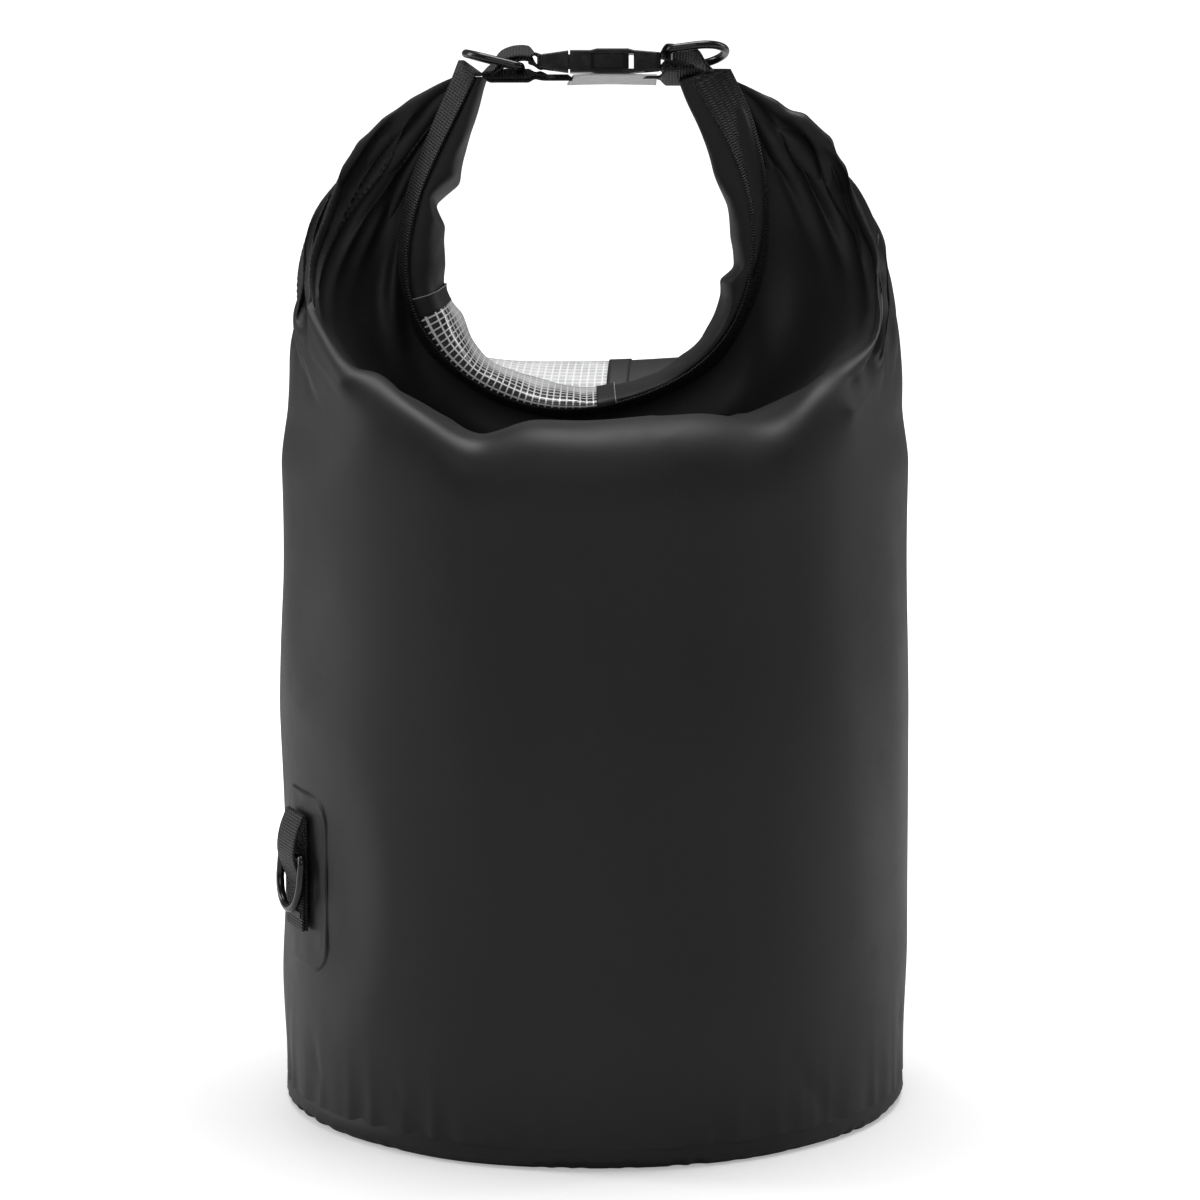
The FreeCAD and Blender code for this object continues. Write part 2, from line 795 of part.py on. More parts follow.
def make_gear_rings():
    """The rings at the ends of the roll, each with its bar in the loop of its strap."""
    left = Placement(
        Vector(-size("left_ring_place"), 0, size("left_ring_height")),
        Rotation(Vector(0, 0, 1), 180),
    ) * Placement(Vector(), Rotation(Vector(0, 1, 0), -size("left_ring_angle")))
    make_ring("ring_left", gear_place() * left)
    twist = Placement(Vector(), Rotation(Vector(1, 0, 0), size("right_loop_twist")))
    right = Placement(
        Vector(size("right_ring_place"), 0, size("right_ring_height")),
        Rotation(Vector(0, 1, 0), -size("right_ring_angle")),
    )
    make_ring("ring_right", gear_place() * twist * right)


# ---------------------------------------------------------------- webbing


def ribbon(label, line, thickness, width, place):
    """Webbing along a line of (along, up) points; place() puts (along, across, up) in the frame."""
    dense = dense_line(line)
    outer, inner = [], []
    for i, (x, z) in enumerate(dense):
        before, after = dense[max(i - 1, 0)], dense[min(i + 1, len(dense) - 1)]
        dx, dz = after[0] - before[0], after[1] - before[1]
        size_of = math.hypot(dx, dz)
        nx, nz = -dz / size_of * thickness / 2, dx / size_of * thickness / 2
        sides = [-width / 2, -width / 6, width / 6, width / 2]
        outer.append([place(x + nx, y, z + nz) for y in sides])
        inner.append([place(x - nx, y, z - nz) for y in sides])
    return feature(label, shell_solid([(outer, inner, True, True)]))


def dense_line(line):
    """Close, even points along a smooth curve through a line's points."""
    curve = Part.BSplineCurve()
    curve.interpolate([Vector(x, 0, z) for x, z in line])
    count = max(int(curve.length() / 1.1), 8)
    points = curve.discretize(count)
    return [(p.x, p.z) for p in points]


def loop_line(tail_end, ring_place, rise, below):
    """A strap's line, out along its tail, back through the ring and round the buckle's bar."""
    bar = value("buckle_length / 2 - bar_diameter / 2")
    wrap = value("bar_diameter / 2 + wrap_gap + strap_thickness / 2")
    low, reach = -size("tail_drop"), size("strap_reach")
    line = [(tail_end, low), ((tail_end + bar) / 2, low), (bar, low), (ring_place + 4, low)]
    line += [(reach - 6, low), (reach - 1, low + 0.1), (reach + 0.9, low + 1.6)]
    line += [(reach - 0.8, low + 3.2), (reach - 4, low + 4.9), (reach - 8, rise - 2.8)]
    line += [(ring_place + 5, rise - 0.7), (ring_place, rise), (ring_place - 3, rise - 0.3)]
    line += [(bar + 1.4, wrap + 0.2)] if below else [(bar + 3, wrap + 1.1)]
    for turn in (90, 140, 180, 220, 270):
        angle = math.radians(turn)
        line.append((bar + wrap * math.cos(angle), wrap * math.sin(angle)))
    if below:
        line += [(bar + 3, -wrap - 0.3), (ring_place + 4, low + 3.2), (ring_place + 9, low + 1.9)]
        line += [(ring_place + 12, low + 1.75)]
    else:
        line += [(bar + 2.1, -wrap + 0.9), (bar + 3.6, -0.2), (bar + 5.4, rise - 3.1)]
    return line


def in_left_strap(s, y, v):
    return gear_place().multVec(Vector(-s, y, v))


def in_right_strap(s, y, v):
    """The right loop is turned about the buckle's axis where it holds its ring."""
    bar = value("buckle_length / 2")
    turned = smooth((s - bar + 1) / 4) * smooth((size("strap_reach") + 1 - s) / 9)
    twist = Rotation(Vector(1, 0, 0), size("right_loop_twist") * turned)
    return gear_place().multVec(Vector(s, 0, 0) + twist.multVec(Vector(0, y, v)))


def make_straps():
    """The two straps, and the pale guard tab sewn to the end of the right tail, under the buckle."""
    thick, wide = size("strap_thickness"), size("strap_width")
    left = loop_line(size("left_tail_end"), size("left_ring_place"), size("left_loop_rise"), False)
    right = loop_line(size("right_tail_end"), size("right_ring_place"), size("right_loop_rise"), True)
    ribbon("strap_left", left, thick, wide, in_left_strap)
    ribbon("strap_right", right, thick, wide, in_right_strap)
    guard = primitive(
        "Part::Box",
        "guard_tab",
        Length="sizes.guard_length",
        Width="sizes.strap_width",
        Height="sizes.guard_thickness",
    )
    drop = size("tail_drop") + thick / 2 + GAP + size("guard_thickness")
    guard.Placement = gear_place() * Placement(Vector(value("guard_start"), -wide / 2, -drop), Rotation())


# ---------------------------------------------------------------- the side tab


def side_place():
    return Placement(Vector(), Rotation(Vector(0, 0, 1), size("side_angle")))


def make_side_patch():
    """A patch welded on the wall, with rounded corners."""
    body = new_body("side_patch_outline")
    half = "patch_width / 2"
    corners = [
        (f"-{half}", "patch_low"),
        (half, "patch_low"),
        (half, "patch_high"),
        (f"-{half}", "patch_high"),
    ]
    sketch = outline(body, "YZ", corners)
    pad = body.newObject("PartDesign::Pad", "Pad")
    pad.Profile = sketch
    pad.setExpression("Length", cells("bag_diameter"))
    round_off(body, "patch_corner", lambda m, d: abs(d.x) > 0.99)
    ring = [
        primitive("Part::Cylinder", f"side_patch_{name}", Radius=f"sizes.{radius}", Height=height)
        for name, radius, height in (
            ("outside", "patch_outside", "sizes.patch_high + 10"),
            ("inside", "patch_radius", "sizes.patch_high + 20"),
        )
    ]
    sheet_of_it = doc.addObject("Part::Cut", "side_patch_sheet")
    sheet_of_it.Base, sheet_of_it.Tool = ring
    patch = doc.addObject("Part::MultiCommon", "side_patch")
    patch.Label = "side_patch"
    patch.Shapes = [sheet_of_it, body]
    patch.Placement = Placement(Vector(), Rotation(Vector(0, 0, 1), 10))
    return bind(patch, Placement__Rotation__Angle="sizes.side_angle * 1deg")


def make_side_tab():
    """Webbing sewn down double on the patch, with its front layer carried over the ring's bar."""
    thick, wide = size("strap_thickness"), size("strap_width")
    ground = value("patch_outside") + 0.25 + wide * wide / 8 / value("patch_outside")
    back = ground + thick / 2
    front = back + thick + 0.15
    bar = back + thick / 2 + size("wrap_gap") + size("ring_wire") / 2
    crown = bar + size("ring_wire") / 2 + size("wrap_gap") + thick / 2
    low, high, middle = size("side_tab_low"), size("side_tab_high"), size("side_bar_height")
    line = [(back, low), (back, (low + middle) / 2), (back, middle), (back, high - 4)]
    line += [(back + 0.15, high - 1.6), ((back + front) / 2, high - 0.9), (front - 0.1, high - 1.7)]
    line += [(front + 0.3, high - 5), (front + 2.0, middle + 9), (crown - 0.9, middle + 4.4)]
    line += [(crown, middle), (crown - 0.9, middle - 4.4), (front + 2.0, middle - 9)]
    line += [(front + 0.2, middle - 14), (front, middle - 19), (front, middle - 25), (front, low)]
    ribbon("side_tab", line, thick, wide, lambda r, y, z: side_place().multVec(Vector(r, y, z)))
    turned = Rotation(Vector(0, 1, 0), 90 - size("side_ring_angle"))
    make_ring("ring_side", side_place() * Placement(Vector(bar, 0, middle), turned))
    tack = primitive(
        "Part::Box",
        "side_tab_bartack",
        Length="sizes.bartack_thickness",
        Width="sizes.strap_width - 4",
        Height="sizes.bartack_length",
    )
    place = Vector(front + thick / 2 + 0.1, -wide / 2 + 2, low + 6)
    tack.Placement = side_place() * Placement(place, Rotation())


def make_strap_bartacks():
    """The stitched bars that hold each strap's end."""
    wide = size("strap_width") - 4
    for label, side in (("strap_left_bartack", -1), ("strap_right_bartack", 1)):
        tack = primitive(
            "Part::Box",
            label,
            Length="sizes.bartack_length",
            Width="sizes.strap_width - 4",
            Height="sizes.bartack_thickness",
        )
        middle = side * (value("buckle_length / 2") - 6 + 4)
        low = -size("tail_drop") - size("strap_thickness") / 2 - size("bartack_thickness") - 0.1
        tack.Placement = gear_place() * Placement(Vector(middle - 1.5, -wide / 2, low), Rotation())


NODES = [
    "wall_panel",
    "window_panel",
    "window_weld_left",
    "window_weld_right",
    "base_pan",
    "top_roll",
    "rim_webbing",
    "mouth_stiffener",
    "strap_left",
    "strap_right",
    "guard_tab",
    "buckle_male",
    "buckle_arm_front",
    "buckle_arm_rear",
    "buckle_female",
    "ring_left",
    "ring_right",
    "ring_side",
    "side_patch",
    "side_tab",
    "side_tab_bartack",
]

make_wall_panel()
make_window_panel()
make_window_weld("window_weld_left", WINDOW_LEFT, -1)
make_window_weld("window_weld_right", WINDOW_RIGHT, 1)
make_base_pan()
make_top_roll()
make_rim()
make_straps()
make_buckle_male()
make_buckle_arm("buckle_arm_rear", "")
make_buckle_arm("buckle_arm_front", "-")
make_buckle_female()
make_gear_rings()
make_side_patch()
make_side_tab()
doc.recompute()

for made in doc.Objects:
    if {"Invalid", "Error"} & set(made.State):
        raise RuntimeError(f"{made.Label} did not compute: {made.State}")

os.makedirs("parts", exist_ok=True)
for node in NODES:
    made = doc.getObjectsByLabel(node)[0]
    shape = made.Shape
    if shape.isNull() or not shape.isValid() or len(shape.Solids) != 1:
        raise RuntimeError(f"{node} is not one sound solid")
    box = shape.BoundBox
    corner = f"{box.XMin:.1f} {box.YMin:.1f} {box.ZMin:.1f}"
    print(node, corner, f"{box.XLength:.1f} x {box.YLength:.1f} x {box.ZLength:.1f}", round(shape.Volume))
    shape.exportStep(f"parts/{node}.step")
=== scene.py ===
"""Roll-top rope storage bag, standing and filled, its rolled mouth buckled into a carrying loop."""

import math

import bpy
import numpy as np
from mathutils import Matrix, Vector


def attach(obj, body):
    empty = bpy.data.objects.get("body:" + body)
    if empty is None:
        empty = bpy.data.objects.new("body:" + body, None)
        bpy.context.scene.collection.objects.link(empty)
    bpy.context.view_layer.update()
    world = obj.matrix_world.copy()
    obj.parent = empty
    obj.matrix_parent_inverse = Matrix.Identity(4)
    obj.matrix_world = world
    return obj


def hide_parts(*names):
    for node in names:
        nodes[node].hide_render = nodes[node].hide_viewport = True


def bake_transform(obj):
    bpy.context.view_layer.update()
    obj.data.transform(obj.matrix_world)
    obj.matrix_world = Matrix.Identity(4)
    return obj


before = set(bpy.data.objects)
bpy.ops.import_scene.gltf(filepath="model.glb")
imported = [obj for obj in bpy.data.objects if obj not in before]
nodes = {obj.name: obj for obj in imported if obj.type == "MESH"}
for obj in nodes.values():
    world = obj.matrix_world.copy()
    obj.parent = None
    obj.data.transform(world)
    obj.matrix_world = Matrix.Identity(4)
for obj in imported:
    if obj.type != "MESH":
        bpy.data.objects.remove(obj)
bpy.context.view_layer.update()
scene = bpy.context.scene

# Sizes in millimetres, the same as the CAD model's; meshes are made in metres.
MM = 0.001
RADIUS = 153.0
MOUTH_LENGTH = math.pi * RADIUS - 2 * 8.3
ROLL_WIDTH, ROLL_END = 30.0, 0.955
BASE_ROUNDING = 10.0
STRAP_WIDTH, STRAP_THICKNESS = 25.0, 1.5
GEAR = np.array([2.0, -4.0, 515.5])
GEAR_TILT = math.radians(-7.0)
BUCKLE_LENGTH = 59.9
BAR_DIAMETER = 3.2
TAIL_DROP = 7.6
STRAP_REACH = 55.5
WINDOW_MIDDLE, WINDOW_WIDTH, WELD_WIDTH = -43.0, 110.0, 9.0
SIDE_ANGLE = math.radians(201.4)


# ---------------------------------------------------------------- numbers and curves


def smooth(x):
    """From 0 to 1 with level ends: 3 x squared less 2 x cubed, on x held between 0 and 1."""
    x = np.clip(x, 0.0, 1.0)
    return x * x * (3 - 2 * x)


def waves(seed, count, lengths, *coordinates):
    """Smooth, repeatable unevenness between about -1 and 1, as a sum of sine waves."""
    rng = np.random.default_rng(seed)
    total = 0.0
    for _ in range(count):
        length = rng.uniform(*lengths)
        direction = rng.normal(size=len(coordinates))
        direction *= 2 * math.pi / length / np.linalg.norm(direction)
        phase = rng.uniform(0, 2 * math.pi)
        total = total + np.sin(sum(d * c for d, c in zip(direction, coordinates)) + phase)
    return total / math.sqrt(count)


def mouth_heading(q):
    """The mouth line's heading in radians: even turning along q, plus two sines and a cosine of it."""
    turn = 114.6 * (q + 0.61 * np.sin(np.pi * q) / np.pi)
    return np.radians(turn - 3.0 * np.cos(np.pi * q / 2) - 9.2 * np.sin(2 * np.pi * q))


MOUTH_STEPS = 2000
_q = np.linspace(-1, 1, MOUTH_STEPS + 1)
_middles = mouth_heading((_q[1:] + _q[:-1]) / 2)
_x = np.concatenate([[0], np.cumsum(np.cos(_middles))]) * MOUTH_LENGTH / MOUTH_STEPS
_z = np.concatenate([[0], np.cumsum(np.sin(_middles))]) * MOUTH_LENGTH / MOUTH_STEPS
MOUTH_X = _x - _x[MOUTH_STEPS // 2] - 9.4
MOUTH_Z = _z - _z[MOUTH_STEPS // 2] + 341.0


def stack(*parts):
    """Arrays joined as the coordinates of points."""
    return np.stack(np.broadcast_arrays(*parts), axis=-1)


def beside_mouth(q, inward, y):
    """Points at a depth y, and a distance in from the mouth's line towards the loop's middle."""
    heading = mouth_heading(q)
    x, z = np.interp(q, _q, MOUTH_X), np.interp(q, _q, MOUTH_Z)
    return stack(x - inward * np.sin(heading), y, z + inward * np.cos(heading))


def twisted(q):
    """How far the roll has twisted over at its right end, from 0 to 1."""
    return smooth((q - 0.42) / 0.5)


def profile(q, places, blur):
    """A profile along the mouth, given at listed places, its corners eased over a blur in q."""
    along, values = zip(*places)
    shifts = np.linspace(-2, 2, 9)
    weights = np.exp(-(shifts**2) / 2)
    eased = sum(w * np.interp(q + d * blur, along, values) for d, w in zip(shifts, weights))
    return eased / weights.sum()


def rim_middle(q):
    """How far in from the mouth's line the middle of the rim webbing lies, in mm."""
    places = [(-1.0, -0.5), (-0.87, 0.5), (-0.65, 0.5), (-0.5, -0.8), (-0.42, -1.2), (-0.33, 0.0)]
    places += [(-0.2, 0.8), (-0.1, 1.6), (0.0, 3.6), (0.08, 5.6), (0.17, 7.0), (0.28, 6.4), (0.4, 5.2)]
    places += [(0.5, 4.2), (0.57, 3.0), (0.66, 0.5), (0.76, -3.0), (0.88, -5.4), (1.0, -5.2)]
    return profile(q, places, 0.04)


def rim_turn(q):
    """How far the rim webbing turns its face to the front, in radians."""
    places = [(-1.0, 31.0), (-0.87, 25.0), (-0.65, 16.0), (-0.5, 11.0), (-0.2, 17.0), (0.3, 19.0)]
    places += [(0.5, 17.0), (0.66, 24.0), (0.78, 39.0), (0.88, 56.0), (1.0, 80.0)]
    return np.radians(profile(q, places, 0.035))


def roll_reach(q):
    """How far in from the mouth's line the roll bulges between the pinches, in mm."""
    places = [(-1.05, 8.0), (-0.93, 11.0), (-0.80, 16.5), (-0.72, 19.6), (-0.655, 11.5), (-0.61, 18.6)]
    places += [(-0.5, 19.5), (-0.44, 17.0), (-0.36, 17.8), (-0.29, 14.0), (-0.2, 12.2), (-0.1, 12.8)]
    places += [(0.0, 12.0), (0.1, 13.2), (0.2, 12.6), (0.27, 15.0), (0.34, 14.0), (0.42, 15.6)]
    places += [(0.47, 16.6), (0.512, 19.0), (0.548, 12.4), (0.62, 14.0), (0.70, 12.2), (0.78, 12.4)]
    places += [(0.88, 10.8), (1.05, 8.6)]
    return profile(q, places, 0.007)


def roll_shape(q):
    """The roll's section: its middle and half sizes, inward from the mouth's line and in y."""
    w = twisted(q)
    near = (rim_middle(q) + 10 * np.sin(rim_turn(q)) - 1.6) * (1 - w) - 14.0 * w
    end = smooth((np.abs(q) - 0.86) / 0.16) * (1 - w)
    half_y = 15.0 * (1 - w) + 6.5 * w - 3.0 * end
    return near, half_y, -8.0 * w


def on_roll(q, angle, lift=0.0):
    """A point round the roll: angle 0 at its back, a quarter turn on its inner face, half at its front.

    The section is a superellipse of powers of cosine and sine, leaning forward, with waves as folds.
    """
    near, half_y, middle_y = roll_shape(q)
    c, s = np.cos(angle), np.sin(angle)
    c, s = np.sign(c) * np.abs(c) ** 0.7, np.sign(s) * np.abs(s) ** 0.8
    lag = np.where(q < 0, 0.045, -0.022) * (1 - c) / 2
    far = roll_reach(q + lag)
    half = (far - near) / 2
    path = q * MOUTH_LENGTH / 2
    fold = waves(42, 9, (11, 30), path + 5 * c, 9 * c, 5 * s) * 0.34
    fold = fold + waves(41, 6, (30, 70), path, 12 * c) * 0.5
    lean = 0.34 * (1 - twisted(q))
    leaning = ((1 - lean) * s + lean * c) / ((1 - lean) ** 2 + lean**2) ** 0.3
    inward = near + half + (half + lift) * leaning
    inward = inward + fold * (0.3 + 0.7 * np.clip(s, 0, 1))
    return beside_mouth(q, inward, middle_y + (half_y + 0.6 * lift) * c + 0.4 * fold * c)


def wall_skin(q, back, t):
    """The wall as first cut out: t from 0 at the base, 1 where it turns in, to 2 at the roll.

    It is a straight line up to the shoulder, and above it a cubic Bezier curve to the roll's underside.
    """
    angle = np.where(back, np.radians(90 - 90 * q), np.radians(270 + 90 * q))
    side = np.abs(q) ** 2.2
    shoulder = 322 + 50 * side + np.where(back, -3, 2) * (1 - side)
    foot = stack(RADIUS * np.cos(angle), RADIUS * np.sin(angle), BASE_ROUNDING + 0.1)
    start = stack(foot[..., 0], foot[..., 1], shoulder)
    spread = 3.4 * np.sqrt(np.maximum(1 - q * q, 0)) * np.where(back, 1, -1)
    at = q * ROLL_END
    inward = -1.55 * (1 - twisted(at)) - 14 * twisted(at) + 0.7 * rim_middle(at) * (1 - twisted(at))
    end = beside_mouth(at, inward, 10.5 - 6 * twisted(at) + spread)
    lean = np.radians(90 + 72 * q)
    pull = (98 - 36 * side)[..., None]
    rise = np.where(back, 90, 101) * (1 - side) + np.where(q > 0, 36, 50) * side
    first = start + stack(0 * q, 0, rise)
    second = end - stack(np.cos(lean), 0, np.sin(lean)) * pull
    t = t[..., None]
    low = foot + (start - foot) * np.minimum(t, 1)
    u = np.clip(t - 1, 0, 1)
    high = start * (1 - u) ** 3 + first * 3 * u * (1 - u) ** 2
    high = high + second * 3 * u * u * (1 - u) + end * u**3
    return np.where(t < 1, low, high)


# ---------------------------------------------------------------- meshes


def grid_object(name, points, uv=None, wrap=False, close_ends=False, body="bag"):
    """A smooth mesh over a grid of points in mm; the second index closes on itself if wrap is set."""
    rows, columns = points.shape[:2]
    vertices = points.reshape(-1, 3) * MM
    count = columns if wrap else columns - 1
    i, j = np.meshgrid(np.arange(rows - 1), np.arange(count), indexing="ij")
    following = (j + 1) % columns
    corners = [(i, j), (i, following), (i + 1, following), (i + 1, j)]
    faces = np.stack([a * columns + b for a, b in corners], axis=-1).reshape(-1, 4)
    mesh = bpy.data.meshes.new(name)
    all_faces = faces.tolist()
    if close_ends:
        all_faces.append(list(range(columns))[::-1])
        all_faces.append([(rows - 1) * columns + k for k in range(columns)])
    mesh.from_pydata(vertices.tolist(), [], all_faces)
    if uv is not None:
        layer = mesh.uv_layers.new(name="cloth")
        flat = uv.reshape(-1, 2)
        values = np.zeros((len(mesh.loops), 2))
        vertex_of = np.zeros(len(mesh.loops), dtype=np.int64)
        mesh.loops.foreach_get("vertex_index", vertex_of)
        values[:] = flat[vertex_of]
        layer.data.foreach_set("uv", values.ravel())
    mesh.polygons.foreach_set("use_smooth", [True] * len(mesh.polygons))
    mesh.validate()
    mesh.update()
    made = bpy.data.objects.new(name, mesh)
    scene.collection.objects.link(made)
    if body:
        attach(made, body)
    return made


def dress(piece, material):
    """Gives a piece its one material, in a slot of its own."""
    piece.data.materials.clear()
    piece.data.materials.append(material)


def thicken(piece, thickness):
    """Gives a sheet its thickness in mm, inward from its face."""
    made = piece.modifiers.new("thickness", "SOLIDIFY")
    made.thickness = thickness * MM
    made.offset = -1.0
    made.use_even_offset = False
    return made


def normals_of(points, wrap):
    """Unit normals of a grid: the cross product of its steps across and along."""
    if wrap:
        across = np.roll(points, -1, 1) - np.roll(points, 1, 1)
    else:
        across = np.gradient(points, axis=1)
    along = np.gradient(points, axis=0)
    normal = np.cross(across, along)
    return normal / np.maximum(np.linalg.norm(normal, axis=-1, keepdims=True), 1e-9)


# ---------------------------------------------------------------- materials


def new_material(name):
    """A node material, its tree and its shader."""
    material = bpy.data.materials.new(name)
    material.use_nodes = True
    tree = material.node_tree
    return material, tree, tree.nodes["Principled BSDF"]


def node(tree, kind, **values):
    """A node with its inputs and properties set by name; an input may be given another node's output."""
    made = tree.nodes.new(kind)
    for key, value in values.items():
        if hasattr(made, key):
            setattr(made, key, value)
            continue
        name = key.replace("_", " ")
        numbered = name[0] == "i" and name[1:].isdigit()
        target = made.inputs[int(name[1:])] if numbered else made.inputs[name]
        if isinstance(value, bpy.types.NodeSocket):
            tree.links.new(value, target)
        else:
            target.default_value = value
    return made


def math_node(tree, operation, *values):
    """A sum of values or node outputs, by one Math node."""
    made = tree.nodes.new("ShaderNodeMath")
    made.operation = operation
    for i, value in enumerate(values):
        if isinstance(value, bpy.types.NodeSocket):
            tree.links.new(value, made.inputs[i])
        else:
            made.inputs[i].default_value = value
    return made.outputs[0]


def ramp(tree, value, low, high, to_low=0.0, to_high=1.0):
    """A value eased from low to high onto to_low to to_high."""
    made = tree.nodes.new("ShaderNodeMapRange")
    made.interpolation_type = "SMOOTHSTEP"
    tree.links.new(value, made.inputs["Value"])
    for name, number in (("From Min", low), ("From Max", high), ("To Min", to_low), ("To Max", to_high)):
        made.inputs[name].default_value = number
    return made.outputs["Result"]


def mix_colour(tree, factor, a, b):
    """Colour a, going over to b as the factor goes from 0 to 1."""
    made = tree.nodes.new("ShaderNodeMix")
    made.data_type = "RGBA"
    for socket, value in ((made.inputs["Factor"], factor), (made.inputs[6], a), (made.inputs[7], b)):
        if isinstance(value, bpy.types.NodeSocket):
            tree.links.new(value, socket)
        else:
            socket.default_value = value
    return made.outputs[2]


def grey(value):
    """A near-neutral colour of one tone."""
    return (value, value, value * 1.01, 1.0)


def tarpaulin():
    """Matte coated cloth: a fine leathery grain, faint threads under the coating, scuffed patches."""
    material, tree, shader = new_material("Coated cloth")
    place = node(tree, "ShaderNodeTexCoord").outputs["Object"]
    grain = node(tree, "ShaderNodeTexNoise", Vector=place, Scale=1300.0, Detail=3.0, Roughness=0.6)
    threads = node(tree, "ShaderNodeTexVoronoi", Vector=place, Scale=620.0)
    patches = node(tree, "ShaderNodeTexNoise", Vector=place, Scale=9.0, Detail=4.0, Roughness=0.55)
    scuffs = node(tree, "ShaderNodeTexNoise", Vector=place, Scale=55.0, Detail=6.0, Roughness=0.7)
    height = math_node(tree, "MULTIPLY_ADD", threads.outputs["Distance"], 0.5, grain.outputs[0])
    bump = node(tree, "ShaderNodeBump", Strength=0.16, Distance=0.00025, Height=height)
    tree.links.new(bump.outputs[0], shader.inputs["Normal"])
    worn = ramp(tree, scuffs.outputs[0], 0.52, 0.78)
    tone = mix_colour(tree, patches.outputs[0], grey(0.0105), grey(0.0145))
    tone = mix_colour(tree, math_node(tree, "MULTIPLY", worn, 0.2), tone, grey(0.03))
    tree.links.new(tone, shader.inputs["Base Color"])
    rough = ramp(tree, patches.outputs[0], 0.25, 0.75, 0.46, 0.58)
    tree.links.new(math_node(tree, "MULTIPLY_ADD", worn, 0.08, rough), shader.inputs["Roughness"])
    shader.inputs["Specular IOR Level"].default_value = 0.3
    return material


def shared_effect(name, inputs, outputs):
    """An empty node group with named inputs, each a number or None for a place, and named outputs."""
    group = bpy.data.node_groups.new(name, "ShaderNodeTree")
    for label, start in inputs.items():
        kind = "NodeSocketVector" if start is None else "NodeSocketFloat"
        socket = group.interface.new_socket(name=label, in_out="INPUT", socket_type=kind)
        if start is not None:
            socket.default_value = start
    for label, kind in outputs.items():
        group.interface.new_socket(name=label, in_out="OUTPUT", socket_type="NodeSocket" + kind)
    return group, group.nodes.new("NodeGroupInput").outputs, group.nodes.new("NodeGroupOutput").inputs


def placed(tree, group, **values):
    """A shared effect placed in a material, with its own values; gives back its outputs."""
    made = tree.nodes.new("ShaderNodeGroup")
    made.node_tree = group
    for label, value in values.items():
        target = made.inputs[label.replace("_", " ")]
        if isinstance(value, bpy.types.NodeSocket):
            tree.links.new(value, target)
        else:
            target.default_value = value
    return made.outputs


def woven_ribs():
    """Cords are a sine across the webbing, and ribs a sine along it, shifted by the cords."""
    pitches = {"Place": None, "Cord pitch": 0.0034, "Rib pitch": 0.00145}
    tree, given, out = shared_effect("Woven ribs", pitches, {"Light": "Float", "Normal": "Vector"})
    apart = node(tree, "ShaderNodeSeparateXYZ", Vector=given["Place"])
    cords = math_node(tree, "DIVIDE", 2 * math.pi, given["Cord pitch"])
    wave = math_node(tree, "SINE", math_node(tree, "MULTIPLY", apart.outputs[0], cords))
    turns = math_node(tree, "DIVIDE", 2 * math.pi, given["Rib pitch"])
    along = math_node(tree, "MULTIPLY", apart.outputs[1], turns)
    ribs = math_node(tree, "SINE", math_node(tree, "MULTIPLY_ADD", wave, 0.7, along))
    fibres = node(tree, "ShaderNodeTexNoise", Vector=given["Place"], Scale=2600.0, Detail=2.0)
    height = math_node(tree, "MULTIPLY_ADD", fibres.outputs[0], 0.12, ribs)
    height = math_node(tree, "MULTIPLY_ADD", wave, 0.25, height)
    bump = node(tree, "ShaderNodeBump", Strength=1.0, Distance=0.0004, Height=height)
    # the Light output is painted light and shade: high on the rib crests, low in the grooves between
    # them
    tree.links.new(ramp(tree, ribs, -0.6, 1.0), out["Light"])
    tree.links.new(bump.outputs[0], out["Normal"])
    return tree


def moulded_skin():
    """A faint flow texture as a bump, and softer worn patches as a mask."""
    scales = {"Place": None, "Flow scale": 260.0, "Wear scale": 90.0}
    tree, given, out = shared_effect("Moulded skin", scales, {"Wear": "Float", "Normal": "Vector"})
    flow = node(tree, "ShaderNodeTexNoise", Vector=given["Place"], Scale=given["Flow scale"], Detail=3.0)
    spread = {"Vector": given["Place"], "Scale": given["Wear scale"], "Detail": 5.0, "Roughness": 0.65}
    wear = node(tree, "ShaderNodeTexNoise", **spread)
    bump = node(tree, "ShaderNodeBump", Strength=0.08, Distance=0.0002, Height=flow.outputs[0])
    tree.links.new(wear.outputs[0], out["Wear"])
    tree.links.new(bump.outputs[0], out["Normal"])
    return tree


def thread_mesh():
    """A square mesh of threads: near the middle of a cell along either axis; with a cloudy haze."""
    sizes = {"Place": None, "Pitch": 0.0036, "Haze scale": 38.0}
    outputs = {"Threads": "Float", "Haze": "Float", "Normal": "Vector"}
    tree, given, out = shared_effect("Thread mesh", sizes, outputs)
    apart = node(tree, "ShaderNodeSeparateXYZ", Vector=given["Place"])
    half_thread, soft_edge = 0.085, 0.05
    lines = []
    for axis in (0, 1):
        cell = math_node(tree, "FRACT", math_node(tree, "DIVIDE", apart.outputs[axis], given["Pitch"]))
        from_middle = math_node(tree, "ABSOLUTE", math_node(tree, "SUBTRACT", cell, 0.5))
        lines.append(ramp(tree, from_middle, half_thread, half_thread + soft_edge, 1.0, 0.0))
    mesh = math_node(tree, "MAXIMUM", *lines)
    spread = {"Vector": given["Place"], "Scale": given["Haze scale"], "Detail": 5.0, "Roughness": 0.6}
    haze = node(tree, "ShaderNodeTexNoise", **spread)
    bump = node(tree, "ShaderNodeBump", Strength=0.5, Distance=0.0003, Height=mesh)
    tree.links.new(mesh, out["Threads"])
    tree.links.new(haze.outputs[0], out["Haze"])
    tree.links.new(bump.outputs[0], out["Normal"])
    return tree


